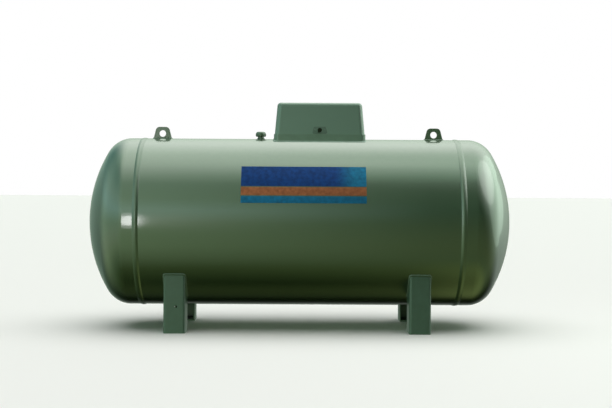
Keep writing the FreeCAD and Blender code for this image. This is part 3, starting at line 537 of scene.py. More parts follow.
class FINISH_PartSettings(bpy.types.PropertyGroup):
    plate: length_property("Leg plate", "Thickness of the folded plate of a leg", 8)
    fold: length_property("Fold", "Outside radius of the folds in plate", 14)
    rivet: length_property("Rivet", "Radius of a rivet's head", 3.6)
    rivet_height: length_property("Rivet height", "How far a rivet's head stands out", 1.8)
    hinge_width: length_property("Hinge width", "Length of a hinge's three knuckles", 49.2)
    seal: length_property("Seal", "Radius of the rubber bulb on the collar's rim", 4.2)
    rim_inset: length_property("Rim inset", "From the collar's outside to the middle of its rim", 22)
    lock_lift: length_property("Lock height", "From the lid's lower edge to the lock's middle", 24)


class FINISH_StageSettings(bpy.types.PropertyGroup):
    camera_place: bpy.props.FloatVectorProperty(
        name="Camera", description="Where the camera stands", default=(-0.012, -7.46, 0.883), subtype="XYZ",
        unit="LENGTH")
    camera_turn: angle_property("Turn", "Turn of the camera to the right", 0.38)
    camera_tilt: angle_property("Tilt", "Tilt of the camera upwards", -1.09)
    camera_roll: angle_property("Roll", "Roll of the camera", 0.34)
    lens: bpy.props.FloatProperty(
        name="Lens", description="Focal length on a 36 mm wide frame", default=72.35)
    sky: bpy.props.FloatProperty(
        name="Sky", description="Strength of the studio that gloss shows", default=3.5)
    boxes: bpy.props.FloatProperty(
        name="Soft boxes", description="Strength of the soft boxes on the right", default=1.0)
    overhead: bpy.props.FloatProperty(
        name="Overhead", description="Strength of the soft overhead light on matt surfaces", default=2.8)
    fill: bpy.props.FloatProperty(
        name="Fill", description="Strength of the soft front light on matt surfaces", default=0.2)


# ---------------------------------------------------------------- operators: the vessel and its welded parts


class FINISH_OT_vessel(bpy.types.Operator):
    """Paints the shell, its heads and its long and round welds"""
    bl_idname = "gas_tank.vessel"
    bl_label = "Vessel"

    def execute(self, context):
        paint = [*context.scene.tank_paint.vessel, 1.0]
        pitch = context.scene.tank_welds.girth_pitch
        dress(gloss_enamel("sprayed_gloss_enamel_on_rolled_plate", paint), "tank_shell")
        dress(gloss_enamel("sprayed_gloss_enamel_on_dished_plate", paint, wave=0.15),
              "left_head", "right_head")
        dress(girth_enamel(paint, pitch), "left_girth_weld", "right_girth_weld", "shell_seam_weld")
        return {"FINISHED"}


class FINISH_OT_legs(bpy.types.Operator):
    """Paints the legs and runs their weld beads, outside at the vessel and inside at the foot plates"""
    bl_idname = "gas_tank.legs"
    bl_label = "Legs"

    def execute(self, context):
        paint = [*context.scene.tank_paint.legs, 1.0]
        welds = context.scene.tank_welds
        parts = context.scene.tank_parts
        names = [row + "_" + side for row in ("front", "rear") for side in ("left", "right")]
        dress(worn_enamel("sprayed_enamel_on_folded_plate", paint, 0.5, 0.3, 0.35),
              *[name + "_leg" for name in names], *[name + "_foot" for name in names])
        bead_paint = weld_enamel("enamel_over_leg_weld", paint)
        for name in names:
            low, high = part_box(name + "_leg")
            front = low.y < 0
            outer = low.y if front else high.y
            inner = high.y if front else low.y
            web = outer + (parts.plate if front else -parts.plate)
            left, right = low.x + parts.plate, high.x - parts.plate
            run = [Vector((high.x, inner, 0)), Vector((high.x, outer, 0)),
                   Vector((low.x, outer, 0)), Vector((low.x, inner, 0))]
            inside = [Vector((left, inner, 0)), Vector((left, web, 0)),
                      Vector((right, web, 0)), Vector((right, inner, 0))]
            if not front:
                run.reverse()
                inside.reverse()
            bm = bmesh.new()
            add_bead(bm, bent_path(run, parts.fold), vessel_underside, welds)
            add_bead(bm, bent_path(inside, parts.plate), on_foot_plate, welds)
            make_piece(name + "_leg_welds", bm, bead_paint)
        return {"FINISHED"}


class FINISH_OT_lugs(bpy.types.Operator):
    """Paints the lifting lugs and runs the beads round their feet"""
    bl_idname = "gas_tank.lugs"
    bl_label = "Lifting lugs"

    def execute(self, context):
        paint = [*context.scene.tank_paint.vessel, 1.0]
        dress(worn_enamel("sprayed_enamel_on_cut_plate", paint, 0.4, 0.6, 0.5),
              "left_lifting_lug", "right_lifting_lug")
        bead_paint = weld_enamel("enamel_over_lug_weld", paint)
        for side in ("left", "right"):
            low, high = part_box(side + "_lifting_lug")
            bm = bmesh.new()
            add_bead(bm, box_plan(low, high, 2 * MM), vessel_top, context.scene.tank_welds)
            make_piece(side + "_lug_weld", bm, bead_paint)
        return {"FINISHED"}


class FINISH_OT_outlet(bpy.types.Operator):
    """Paints the capped liquid outlet, and adds its bead and the grip ribs of its cap"""
    bl_idname = "gas_tank.outlet"
    bl_label = "Capped outlet"

    def execute(self, context):
        paint = [*context.scene.tank_paint.vessel, 1.0]
        enamel = worn_enamel("sprayed_enamel_on_turned_steel", paint, 0.4, 0.6, 0.4)
        dress(enamel, "outlet_boss", "outlet_cap")
        place = middle("outlet_boss")
        bm = bmesh.new()
        add_bead(bm, round_plan(place.x, extent("outlet_boss").x / 2), vessel_top, context.scene.tank_welds)
        make_piece("outlet_boss_weld", bm, weld_enamel("enamel_over_boss_weld", paint))
        low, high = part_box("outlet_cap")
        ribs = 24
        size = (2.4 * MM, 3.4 * MM, 13 * MM)
        radius = (high.x - low.x) / 2
        bm = bmesh.new()
        for step in range(ribs):
            turn = Matrix.Rotation(2 * math.pi * step / ribs, 4, "Z")
            centre = Vector((place.x, 0, low.z + 11 * MM))
            add_block(bm, centre + turn @ Vector((radius, 0, 0)), size, turn, 0.9 * MM)
        make_piece("outlet_cap_ribs", bm, enamel)
        return {"FINISHED"}


# ---------------------------------------------------------------- operators: the cover


class FINISH_OT_collar(bpy.types.Operator):
    """Paints the collar, and adds its weld to the vessel and the rubber seal on its rim"""
    bl_idname = "gas_tank.collar"
    bl_label = "Collar"

    def execute(self, context):
        paint = [*context.scene.tank_paint.cover, 1.0]
        parts = context.scene.tank_parts
        dress(worn_enamel("sprayed_enamel_on_pressed_sheet", paint, 0.42, 0.5, 0.3), "valve_collar")
        bm = bmesh.new()
        plan = box_plan(COLLAR_LOW, COLLAR_HIGH, parts.fold * 1.6)
        add_bead(bm, plan, vessel_top, context.scene.tank_welds)
        make_piece("collar_weld", bm, weld_enamel("enamel_over_collar_weld", paint))
        inset = Vector((parts.rim_inset, parts.rim_inset, 0))
        plan = box_plan(COLLAR_LOW + inset, COLLAR_HIGH - inset, 9 * MM)
        lift = UP * (COLLAR_HIGH.z + 0.45 * parts.seal)
        curve = bpy.data.curves.new("rim_seal_path", "CURVE")
        curve.dimensions = "3D"
        curve.bevel_depth = parts.seal
        curve.bevel_resolution = 3
        spline = curve.splines.new("POLY")
        spline.points.add(len(plan) - 2)
        for point, place in zip(spline.points, plan):
            point.co = (*(place + lift), 1)
        spline.use_cyclic_u = True
        holder = bpy.data.objects.new("rim_seal_path", curve)
        bm = bmesh.new()
        bm.from_mesh(holder.to_mesh())
        holder.to_mesh_clear()
        bpy.data.objects.remove(holder)
        make_piece("rim_seal", bm, seal_rubber())
        return {"FINISHED"}


class FINISH_OT_lid(bpy.types.Operator):
    """Paints the lid, and gives its lock plate and lock their rivets and finish"""
    bl_idname = "gas_tank.lid"
    bl_label = "Lid and lock"

    def execute(self, context):
        paint = [*context.scene.tank_paint.cover, 1.0]
        parts = context.scene.tank_parts
        enamel = gloss_enamel(
            "sprayed_enamel_on_pressed_lid", paint, wave=0.1, roughness=0.4, coat=0.5, dust_and_top_light=0.25)
        dress(enamel, "valve_lid")
        # The lock plate and its rivets take the cover's paint darkened to 0.55: painted shade.
        shaded_plate_paint = worn_enamel("sprayed_enamel_on_lock_plate", shaded(paint, 0.55), 0.5, 0.3, 0.5)
        dress(shaded_plate_paint, "lock_plate")
        lock = turned_metal("blackened_cast_zinc", linear("#12150f"), 0.5, 0.9 * MM, linear("#23281f"))
        dress(lock, "lock_barrel", "lock_flap")
        up_face = Vector((0, math.sin(LID_DRAFT), math.cos(LID_DRAFT)))
        outward = Vector((0, -math.cos(LID_DRAFT), math.sin(LID_DRAFT)))
        foot = Vector((middle("valve_lid").x, LID_LOW.y, LID_LOW.z))
        centre = foot + up_face * (parts.lock_lift / math.cos(LID_DRAFT))
        rivet_reach, plate_front, pivot_rise, pivot_front = 29, 4, 6, 15.5
        bm = bmesh.new()
        for side in (-1, 1):
            place = centre + ALONG * side * rivet_reach * MM + outward * plate_front * MM
            add_dome(bm, place, outward, parts.rivet, parts.rivet_height)
        make_piece("lock_plate_rivets", bm, shaded_plate_paint, "lid")
        bm = bmesh.new()
        place = centre + up_face * pivot_rise * MM + outward * pivot_front * MM
        add_dome(bm, place, outward, 2.6 * MM, 1.4 * MM)
        make_piece("lock_flap_pivot", bm, lock, "lid")
        return {"FINISHED"}


class FINISH_OT_hinges(bpy.types.Operator):
    """Gives the lid's hinges their finish, rivets and pin heads"""
    bl_idname = "gas_tank.hinges"
    bl_label = "Hinges"

    def execute(self, context):
        paint = [*context.scene.tank_paint.cover, 1.0]
        parts = context.scene.tank_parts
        enamel = worn_enamel("sprayed_enamel_on_hinge_leaf", paint, 0.45, 0.4, 0.7)
        zinc = turned_metal("drawn_zinc_plated_steel", linear("#b4b3a8"), 0.3, 0.8 * MM, linear("#8f8d7c"))
        dress(enamel, "hinge_bases", "hinge_leaves")
        dress(zinc, "hinge_pins")
        low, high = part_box("hinge_bases")
        centres = (low.x + parts.hinge_width / 2, high.x - parts.hinge_width / 2)
        up_face = Vector((0, -math.sin(LID_DRAFT), math.cos(LID_DRAFT)))
        outward = Vector((0, math.cos(LID_DRAFT), math.sin(LID_DRAFT)))
        leaf, base_rise, leaf_rise = 3, 9, 28
        reach = extent("hinge_pins").x / 2 - abs(centres[1] - centres[0]) / 2
        fixed, moving, heads = bmesh.new(), bmesh.new(), bmesh.new()
        for centre in centres:
            for side in (-1, 1):
                across = side * 0.3 * parts.hinge_width
                place = Vector((centre + across, COLLAR_HIGH.y + leaf * MM, low.z + base_rise * MM))
                add_dome(fixed, place, BACK, parts.rivet, parts.rivet_height)
                place = Vector((centre + across, LID_HIGH.y, LID_LOW.z))
                place = place + up_face * leaf_rise * MM + outward * leaf * MM
                add_dome(moving, place, outward, parts.rivet, parts.rivet_height)
                end = Vector((centre + side * reach, HINGE["pos_m"][1], HINGE["pos_m"][2]))
                add_dome(heads, end, ALONG * side, 5.2 * MM, 2.4 * MM)
        make_piece("hinge_base_rivets", fixed, enamel)
        make_piece("hinge_leaf_rivets", moving, enamel, "lid")
        make_piece("hinge_pin_heads", heads, zinc)
        return {"FINISHED"}


# ---------------------------------------------------------------- operators: the fittings under the lid


class FINISH_OT_bosses(bpy.types.Operator):
    """Paints the four bosses under the lid and runs the beads round their feet"""
    bl_idname = "gas_tank.bosses"
    bl_label = "Bosses"

    def execute(self, context):
        paint = [*context.scene.tank_paint.vessel, 1.0]
        names = ("relief_boss", "level_boss", "filler_boss", "service_boss")
        dress(worn_enamel("sprayed_enamel_on_bosses", paint, 0.4, 0.5, 0.5), *names)
        bm = bmesh.new()
        for name in names:
            plan = round_plan(middle(name).x, extent(name).x / 2)
            add_bead(bm, plan, vessel_top, context.scene.tank_welds)
        make_piece("boss_welds", bm, weld_enamel("enamel_over_boss_welds", paint))
        return {"FINISHED"}


class FINISH_OT_valves(bpy.types.Operator):
    """Gives the brass valves, their caps and the handwheel their finish, threads, nuts and screws"""
    bl_idname = "gas_tank.valves"
    bl_label = "Valves and caps"

    def execute(self, context):
        brass = turned_metal("turned_brass", linear("#c9a25a"), 0.26, 1.2 * MM, linear("#8a6d3c"))
        dress(brass, "relief_valve", "filler_valve", "service_valve")
        red = moulded_plastic("moulded_red_polyethylene", linear("#8e2118"), 1.2 * MM, 0.42)
        dress(red, "relief_cap", "filler_cap")
        dress(moulded_plastic("moulded_black_nylon", linear("#1b1c1b"), 0.9 * MM, 0.48), "service_handwheel")
        steel = turned_metal("zinc_plated_screw_steel", linear("#b9b8ad"), 0.3, 0.7 * MM, linear("#8d8b7b"))

        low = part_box("filler_valve")[0]
        place = middle("filler_valve")
        turns, first_turn, pitch, root, crest = 3, 21.5, 4.2, 23.4 * MM, 25.6 * MM
        outline = [(root, 0), (crest, 1.1 * MM), (crest, 1.9 * MM), (root, 3 * MM)]
        bm = bmesh.new()
        for step in range(turns):
            add_ring(bm, Vector((place.x, 0, low.z + (first_turn + pitch * step) * MM)), UP, outline)
        make_piece("filler_thread", bm, brass)

        low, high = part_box("service_valve")
        axis_x = middle("service_boss").x
        bm = bmesh.new()
        outlet = Vector((high.x, 0, low.z + 34 * MM))
        add_disc(bm, outlet - ALONG * 12 * MM, ALONG, 17 * MM, 16 * MM, 1.2 * MM, segments=6)
        add_disc(bm, outlet + ALONG * 4 * MM, ALONG, 12 * MM, 5 * MM, 1.0 * MM, segments=24)
        add_disc(bm, Vector((axis_x, 0, high.z - 8 * MM)), UP, 12.5 * MM, 6 * MM, 0.8 * MM, segments=6)
        make_piece("service_valve_nuts", bm, brass)

        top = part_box("service_handwheel")[1].z
        bm = bmesh.new()
        add_disc(bm, Vector((axis_x, 0, top)), UP, 7 * MM, 1.2 * MM, 0.4 * MM)
        add_disc(bm, Vector((axis_x, 0, top + 1.2 * MM)), UP, 4.6 * MM, 3.2 * MM, 0.5 * MM, segments=6)
        make_piece("handwheel_screw", bm, steel)

        place = middle("relief_valve")
        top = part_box("relief_cap")[1].z
        bm = bmesh.new()
        add_ring(bm, Vector((place.x, 0, top - 3 * MM)), UP,
                 [(12 * MM, 0), (16 * MM, 0), (16 * MM, 2.6 * MM), (15 * MM, 3.4 * MM), (12 * MM, 3.4 * MM)])
        make_piece("relief_cap_ring", bm, red)
        return {"FINISHED"}


def add_dial(name, place, ahead, upward, radius, sweep=math.radians(270), marks=21):
    """A plain dial with a window: a pale face, marks round it, a needle, a bezel and a clear cover."""
    white = moulded_plastic("printed_white_dial", linear("#e6e6df"), 2 * MM, 0.5)
    black = moulded_plastic("printed_black_marks", linear("#151515"), 2 * MM, 0.5)
    red = moulded_plastic("painted_red_needle", linear("#b01f16"), 2 * MM, 0.4)
    bezel_steel = brushed_sheet("pressed_stainless_bezel", linear("#c3c4c0"), 12 * MM, 0.8 * MM)
    bm = bmesh.new()
    add_disc(bm, place, ahead, radius * 0.88, 0.4 * MM, upward=upward)
    make_piece(name + "_face", bm, white)
    frame_matrix = facing_matrix(place, ahead, upward)
    bm = bmesh.new()
    for step in range(marks):
        turn = Matrix.Rotation(math.pi / 2 + sweep / 2 - sweep * step / (marks - 1), 4, "Z")
        long = step % 5 == 0
        size = (radius * (0.16 if long else 0.09), radius * (0.04 if long else 0.022), 0.2 * MM)
        at = frame_matrix @ turn @ Matrix.Translation((radius * 0.74, 0, 0.5 * MM))
        bmesh.ops.create_cube(bm, size=1, matrix=at @ Matrix.Diagonal((*size, 1)))
    make_piece(name + "_marks", bm, black)
    bm = bmesh.new()
    turn = Matrix.Rotation(math.pi / 2 + sweep * 0.3, 4, "Z")
    at = frame_matrix @ turn @ Matrix.Translation((radius * 0.24, 0, 1.2 * MM))
    bmesh.ops.create_cone(bm, cap_ends=True, segments=4, radius1=radius * 0.05, radius2=radius * 0.012,
                          depth=radius * 0.8, matrix=at @ Matrix.Rotation(math.pi / 2, 4, "Y"))
    add_disc(bm, place + ahead * 0.4 * MM, ahead, radius * 0.1, 1.6 * MM, 0.3 * MM, upward=upward)
    make_piece(name + "_needle", bm, red)
    bm = bmesh.new()
    add_ring(bm, place, ahead, [
        (radius * 0.88, 0), (radius, 0), (radius, 2.6 * MM), (radius * 0.96, 3.6 * MM),
        (radius * 0.88, 3.2 * MM)])
    make_piece(name + "_bezel", bm, bezel_steel)
    bm = bmesh.new()
    add_disc(bm, place + ahead * 2.2 * MM, ahead, radius * 0.9, 0.8 * MM, 0.3 * MM, upward=upward)
    make_piece(name + "_window", bm, clear_window())


class FINISH_OT_gauges(bpy.types.Operator):
    """Gives the level gauge and the pressure gauge their cases, dials, needles and windows"""
    bl_idname = "gas_tank.gauges"
    bl_label = "Gauges"

    def execute(self, context):
        dress(cast_alloy(), "level_gauge")
        dress(moulded_plastic("moulded_pale_acetal", linear("#b9bab2"), 1.0 * MM, 0.4), "level_dial")
        dress(brushed_sheet("spun_stainless_case", linear("#b9bbb8"), 10 * MM, 0.7 * MM), "pressure_gauge")
        dial_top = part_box("level_dial")[1].z
        add_dial("level", Vector((middle("level_dial").x, 0, dial_top)), UP, BACK,
                 extent("level_dial").x * 0.46)
        low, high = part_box("pressure_gauge")
        radius = (high.x - low.x) / 2
        add_dial("pressure", Vector(((low.x + high.x) / 2, low.y, high.z - radius)), -BACK, UP, radius * 0.9)
        return {"FINISHED"}


class FINISH_OT_data_plate(bpy.types.Operator):
    """Gives the bare data plate its brushed face, stamped border and empty fields"""
    bl_idname = "gas_tank.data_plate"
    bl_label = "Data plate"

    def execute(self, context):
        steel = brushed_sheet("brushed_stainless_plate", linear("#b6b8b6"), 30 * MM, 0.6 * MM)
        dress(steel, "data_plate")
        low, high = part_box("data_plate")
        front = low.y
        width = high.x - low.x
        height = 34 * MM
        centre = Vector(((low.x + high.x) / 2, front, high.z - height / 2 - 3 * MM))
        bm = bmesh.new()
        for side in (-1, 1):
            add_block(bm, centre + Vector((0, 0, side * height / 2)), (width - 8 * MM, 0.8 * MM, 1.2 * MM))
            add_block(bm, centre + Vector((side * (width / 2 - 4 * MM), 0, 0)), (1.2 * MM, 0.8 * MM, height))
        for row in (-1, 0, 1):
            add_block(bm, centre + Vector((0, 0, row * height / 4)), (width - 14 * MM, 0.5 * MM, 0.8 * MM))
        make_piece("data_plate_border", bm, steel)
        return {"FINISHED"}


class FINISH_OT_label(bpy.types.Operator):
    """Prints the three bare bands of the label"""
    bl_idname = "gas_tank.label"
    bl_label = "Label"

    def execute(self, context):
        paint = context.scene.tank_paint
        low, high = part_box("label_upper_band")
        span = high.x - low.x
        dark, end = [*paint.label_dark, 1.0], [*paint.label_end, 1.0]
        warm, pale = [*paint.label_warm, 1.0], [*paint.label_pale, 1.0]
        turn_start, turn_end = low.x + 0.74 * span, low.x + 0.93 * span
        dress(printed_film("printed_dark_blue_vinyl", dark, end, turn_start, turn_end), "label_upper_band")
        # The middle and lower bands darken to 0.8 of their ink towards the right end: painted shade.
        for name, ink, band in (("printed_orange_vinyl", warm, "label_middle_band"),
                                ("printed_blue_vinyl", pale, "label_lower_band")):
            dress(printed_film(name, ink, shaded(ink, 0.8), low.x, high.x), band)
        return {"FINISHED"}


# ---------------------------------------------------------------- operator: the stage


def set_camera(settings):
    """A camera from its place and its turn, tilt and roll, with a long lens."""
    data = bpy.data.cameras.new("camera")
    data.lens = settings.lens
    data.sensor_width = 36.0
    camera = bpy.data.objects.new("camera", data)
    bpy.context.scene.collection.objects.link(camera)
    turn, tilt, roll = settings.camera_turn, settings.camera_tilt, settings.camera_roll
    ahead = Vector((math.sin(turn) * math.cos(tilt), math.cos(turn) * math.cos(tilt), math.sin(tilt)))
    side = Vector((math.cos(turn), -math.sin(turn), 0))
    up = side.cross(ahead)
    rolled_side = math.cos(roll) * side + math.sin(roll) * up
    rolled_up = math.cos(roll) * up - math.sin(roll) * side
    axes = Matrix((rolled_side, rolled_up, -ahead)).transposed().to_4x4()
    camera.matrix_world = Matrix.Translation(Vector(settings.camera_place)) @ axes
    bpy.context.scene.camera = camera


def sky_stops(levels):
    """Ramp stops from (degrees above the horizon, red, green, blue), as shares of the brightest light."""
    return [((degrees + 90) / 180, (red / BRIGHTEST, green / BRIGHTEST, blue / BRIGHTEST, 1.0))
            for degrees, red, green, blue in levels]


# What gloss shows on each side of the studio: degrees above the horizon, and the red, green and blue light
# there. The ramps hold it as shares of the brightest light.
BRIGHTEST = 3.5
SKIES = {
    "front left": (
        (-90, 0.0, 0.0, 0.0), (-80, 0.10, 0.16, 0.05), (-64, 0.24, 0.36, 0.12), (-48, 0.68, 1.00, 0.50),
        (-32, 1.00, 1.50, 0.80), (0, 1.05, 1.55, 0.85), (16, 1.90, 2.80, 2.20), (32, 1.35, 1.95, 1.30),
        (54, 1.15, 1.70, 1.20), (66, 1.90, 2.45, 1.90), (80, 2.80, 3.30, 2.80), (90, 2.90, 3.40, 2.90)),
    "far left": (
        (-90, 0.0, 0.0, 0.0), (-80, 0.10, 0.16, 0.05), (-64, 0.22, 0.38, 0.14), (-48, 0.45, 0.70, 0.35),
        (-32, 0.90, 1.30, 0.70), (-16, 1.15, 1.55, 1.00), (0, 1.00, 1.50, 1.00), (16, 1.35, 2.20, 1.95),
        (32, 1.15, 1.75, 1.45), (54, 0.55, 1.05, 0.90), (68, 0.55, 0.95, 0.80), (80, 2.50, 3.10, 2.50),
        (90, 2.90, 3.40, 2.90)),
    "front right": (
        (-90, 0.0, 0.0, 0.0), (-80, 0.06, 0.10, 0.02), (-64, 0.24, 0.36, 0.11), (-48, 0.38, 0.56, 0.24),
        (-32, 0.38, 0.52, 0.21), (-16, 0.30, 0.40, 0.17), (0, 0.14, 0.20, 0.08), (16, 0.0, 0.03, 0.0),
        (48, 0.0, 0.03, 0.0), (56, 0.08, 0.18, 0.10), (66, 0.60, 1.10, 0.70), (80, 1.75, 2.35, 1.85),
        (90, 2.90, 3.40, 2.90)),
    "back left": (
        (-90, 0.0, 0.0, 0.0), (-48, 0.0, 0.0, 0.0), (-32, 0.06, 0.10, 0.06), (0, 0.24, 0.36, 0.28),
        (16, 0.25, 0.44, 0.38), (42, 0.08, 0.28, 0.30), (54, 0.28, 0.48, 0.48), (66, 0.95, 1.45, 1.15),
        (80, 2.80, 3.30, 2.80), (90, 2.90, 3.40, 2.90)),
    "back right": (
        (-90, 0.0, 0.0, 0.0), (-36, 0.0, 0.0, 0.0), (-16, 0.22, 0.26, 0.22), (0, 0.34, 0.42, 0.34),
        (16, 0.60, 0.75, 0.60), (32, 1.25, 1.42, 1.25), (42, 1.80, 2.00, 1.80), (54, 2.35, 2.60, 2.35),
        (66, 2.90, 3.25, 2.90), (80, 3.15, 3.45, 3.15), (90, 2.90, 3.40, 2.90))}

# Where one side gives way to the next, or the ground begins: the part of the direction looked in, and the two
# ends of the change
BLENDS = (
    ("far left", "X", -0.18, -0.42, "SMOOTHSTEP"), ("right", "X", -0.16, 0.11, "LINEAR"),
    ("back right", "X", -0.55, -0.1, "SMOOTHSTEP"), ("back", "Y", -0.1, 0.7, "SMOOTHSTEP"),
    ("low", "Z", -0.72, -0.94, "SMOOTHSTEP"), ("aside", "X", 0.08, 0.15, "SMOOTHSTEP"))

# Soft boxes on the right: degrees round from the front, degrees up, red, green and blue strength, the share
# of it at so many degrees away from the middle, and the widths of the round lamps near the right head
SOFT_BOXES = (
    (76, 46, (5.5, 5.9, 5.5), ((0, 1.0), (12, 0.92), (20, 0.70), (28, 0.35), (36, 0.10), (46, 0.0)),
     (0.7, 1.1, 1.5, 1.9, 2.3)),
    (100, 20, (2.75, 3.6, 2.9), ((0, 1.0), (20, 0.88), (30, 0.60), (37, 0.32), (45, 0.16), (60, 0.0)),
     (1.4, 1.9, 2.4, 2.9, 3.4)))
FAR_SHARE = 0.5                 # of the boxes' light, from the world
NEAR_SHARE = 1.05               # and from the lamps near the right head
NEAR_DISTANCE = 2.0
LIT_GROUND = (0.42, 0.55, 0.18)

# The long lights beside the camera: name, power, width and length
STRIP_LIGHTS = (("left_strip_light", 14.0, 0.22, 1.7), ("left_strip_glow", 8.0, 0.36, 2.7))
STRIP_PLACE = (-1.92, -7.4, 0.90)
STRIP_TARGET = (-0.94, -0.5, 0.66)
OVERHEAD_SPREAD = math.radians(80)
FRONT_SPREAD = math.radians(70)
FLOOR_REACH = 60


def heading(round_from_front, above):
    """A direction from degrees round from the front towards the right, and degrees up."""
    turn, rise = math.radians(round_from_front), math.radians(above)
    return Vector((math.sin(turn) * math.cos(rise), -math.cos(turn) * math.cos(rise), math.sin(rise)))


def set_world(settings):
    """A studio round the object.

    Only gloss shows it: soft light from above, soft boxes high on the right, darker screens low down and to
    the right of the camera, and the lit ground. Two suns serve the matt surfaces instead.
    """
    world = bpy.data.worlds.new("studio")
    world.use_nodes = True
    tree = world.node_tree
    tree.nodes.clear()
    ray = add_node(tree, "TexCoord").outputs["Generated"]
    parts = add_node(tree, "SeparateXYZ", {"Vector": ray})
    height = add_node(tree, "Math", {0: parts.outputs["Z"]}, operation="ARCSINE").outputs[0]
    level = add_node(tree, "MapRange", {
        "Value": height, "From Min": -math.pi / 2, "From Max": math.pi / 2}).outputs[0]
    skies = {name: add_node(tree, "ValToRGB", {"Fac": level}, stops=sky_stops(side)).outputs[0]
             for name, side in SKIES.items()}
    blends = {name: add_node(tree, "MapRange", {
        "Value": parts.outputs[axis], "From Min": start, "From Max": end}, interpolation_type=way).outputs[0]
        for name, axis, start, end, way in BLENDS}
    for blend, name, other in (
            ("far left", "front left", "far left"), ("right", "front left", "front right"),
            ("back right", "back left", "back right"), ("back", "front left", "back left")):
        mixed = add_node(tree, "Mix", {
            "Factor": blends[blend], MIX_A: skies[name], MIX_B: skies[other]}, data_type="RGBA")
        skies[name] = mixed.outputs[MIXED]
    whole = skies["front left"]
    for round_from_front, above, strength, shares, _ in SOFT_BOXES:
        near = add_node(tree, "VectorMath", {
            0: ray, 1: heading(round_from_front, above)}, operation="DOT_PRODUCT")
        away = add_node(tree, "Math", {0: near.outputs["Value"]}, operation="ARCCOSINE").outputs[0]
        part = add_node(tree, "MapRange", {"Value": away, "From Max": math.pi / 2}).outputs[0]
        stops = [(degrees / 90, (share, share, share, 1.0)) for degrees, share in shares]
        glow = add_node(tree, "ValToRGB", {"Fac": part}, stops=stops)
        colour = [FAR_SHARE * settings.boxes * part / BRIGHTEST for part in strength]
        box = add_node(tree, "VectorMath", {0: glow.outputs[0], 1: colour}, operation="MULTIPLY")
        whole = add_node(tree, "VectorMath", {0: whole, 1: box.outputs[0]}, operation="ADD").outputs[0]
    ground = add_node(tree, "Math", {0: blends["low"], 1: blends["aside"]}, operation="MULTIPLY")
    lawn = [part / BRIGHTEST for part in LIT_GROUND]
    lit = add_node(tree, "VectorMath", {0: lawn, "Scale": ground.outputs[0]}, operation="SCALE")
    whole = add_node(tree, "VectorMath", {0: whole, 1: lit.outputs[0]}, operation="ADD")
    light = add_node(tree, "Background", {"Color": whole.outputs[0], "Strength": settings.sky})
    path = add_node(tree, "LightPath")
    backdrop = add_node(tree, "Background", {"Color": (1, 1, 1, 1), "Strength": 1.0})
    mix = add_node(tree, "MixShader", {
        0: path.outputs["Is Camera Ray"], 1: light.outputs[0], 2: backdrop.outputs[0]})
    add_node(tree, "OutputWorld", {"Surface": mix.outputs[0]})
    bpy.context.scene.world = world
    world.cycles_visibility.diffuse = False


def add_light(name, kind, place, target, power, in_gloss, **settings):
    """A lamp that looks from its place to a target, and lights either gloss or matt surfaces, not both."""
    data = bpy.data.lights.new(name, kind)
    data.energy = power
    for setting, value in settings.items():
        setattr(data, setting, value)
    light = bpy.data.objects.new(name, data)
    light.matrix_world = facing_matrix(Vector(place), Vector(place) - Vector(target))
    light.visible_glossy = in_gloss
    light.visible_diffuse = not in_gloss
    light.visible_camera = False
    bpy.context.scene.collection.objects.link(light)


def add_near_boxes(settings):
    """Round soft boxes near the right head, which mirrors them, in layers so that their edges are soft."""
    low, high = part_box("right_head")
    about = Vector(((low.x + high.x) / 2, -0.6 * VESSEL_RADIUS, AXIS_HEIGHT + 0.3 * VESSEL_RADIUS))
    for round_from_front, above, strength, _, widths in SOFT_BOXES:
        place = about + NEAR_DISTANCE * heading(round_from_front, above)
        brightest = max(strength)
        for width in widths:
            radiance = NEAR_SHARE * settings.boxes * brightest / len(widths)
            power = radiance * (math.pi * width / 2) ** 2
            add_light("near_soft_box", "AREA", place, about, power, True, shape="DISK", size=width,
                      color=[part / brightest for part in strength])


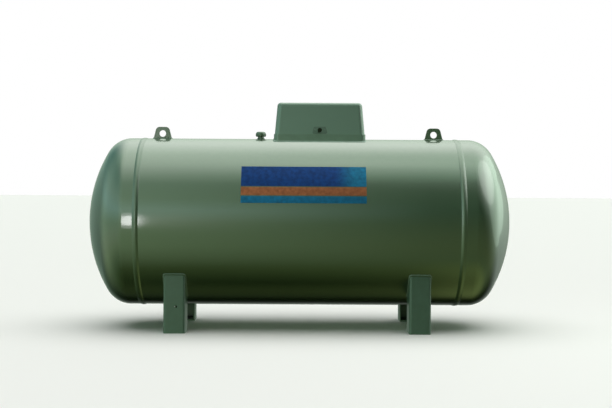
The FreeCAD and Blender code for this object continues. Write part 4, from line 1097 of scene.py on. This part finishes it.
class FINISH_OT_stage(bpy.types.Operator):
    """Sets up the floor, the lights and the camera"""
    bl_idname = "gas_tank.stage"
    bl_label = "Stage"

    def execute(self, context):
        settings = context.scene.tank_stage
        context.scene.view_settings.view_transform = "Standard"
        set_camera(settings)
        set_world(settings)
        for name, power, width, length in STRIP_LIGHTS:
            add_light(name, "AREA", STRIP_PLACE, STRIP_TARGET, power, True,
                      shape="ELLIPSE", size=width, size_y=length)
        add_near_boxes(settings)
        add_light("overhead_light", "SUN", (0, 0, 6), (0, 0, 0), settings.overhead, False,
                  angle=OVERHEAD_SPREAD)
        add_light("front_fill", "SUN", (-1, -6, 3), (0, 0, 0.6), settings.fill, False, angle=FRONT_SPREAD)
        bm = bmesh.new()
        bmesh.ops.create_grid(bm, x_segments=1, y_segments=1, size=FLOOR_REACH)
        mesh = bpy.data.meshes.new("floor")
        bm.to_mesh(mesh)
        bm.free()
        floor = bpy.data.objects.new("floor", mesh)
        context.scene.collection.objects.link(floor)
        mesh.materials.append(studio_paper())
        crown = AXIS_HEIGHT + VESSEL_RADIUS
        margin = 20 * MM
        for piece in context.scene.objects:
            if piece.type == "MESH" and piece is not floor:
                corners = [Vector(corner) for corner in piece.bound_box]
                inside = COLLAR_LOW.x - margin < corners[0].x and corners[6].x < COLLAR_HIGH.x + margin
                if inside and corners[6].z > crown:
                    piece.visible_glossy = False
        floor.visible_glossy = False
        floor.visible_diffuse = False
        return {"FINISHED"}


OPERATORS = (FINISH_OT_vessel, FINISH_OT_legs, FINISH_OT_lugs, FINISH_OT_outlet, FINISH_OT_collar,
             FINISH_OT_lid, FINISH_OT_hinges, FINISH_OT_bosses, FINISH_OT_valves, FINISH_OT_gauges,
             FINISH_OT_data_plate, FINISH_OT_label, FINISH_OT_stage)
SETTINGS = {"tank_paint": FINISH_PaintSettings, "tank_welds": FINISH_WeldSettings,
            "tank_parts": FINISH_PartSettings, "tank_stage": FINISH_StageSettings}


class FINISH_PT_panel(bpy.types.Panel):
    """Lists the sizes, the colours and the pieces"""
    bl_idname = "FINISH_PT_panel"
    bl_label = "Gas Tank"
    bl_space_type = "VIEW_3D"
    bl_region_type = "UI"
    bl_category = "Gas Tank"

    def draw(self, context):
        for holder in SETTINGS:
            box = self.layout.box()
            group = getattr(context.scene, holder)
            for name in group.__annotations__:
                box.prop(group, name)
        for operator in OPERATORS:
            self.layout.operator(operator.bl_idname)


def register():
    for entry in (*SETTINGS.values(), *OPERATORS, FINISH_PT_panel):
        bpy.utils.register_class(entry)
    for holder, group in SETTINGS.items():
        setattr(bpy.types.Scene, holder, bpy.props.PointerProperty(type=group))


def unregister():
    for holder in SETTINGS:
        delattr(bpy.types.Scene, holder)
    for entry in reversed((*SETTINGS.values(), *OPERATORS, FINISH_PT_panel)):
        bpy.utils.unregister_class(entry)


def main():
    register()
    for operator in OPERATORS:
        call = getattr(bpy.ops.gas_tank, operator.bl_idname.split(".")[1])
        call()


if __name__ == "__main__":
    main()
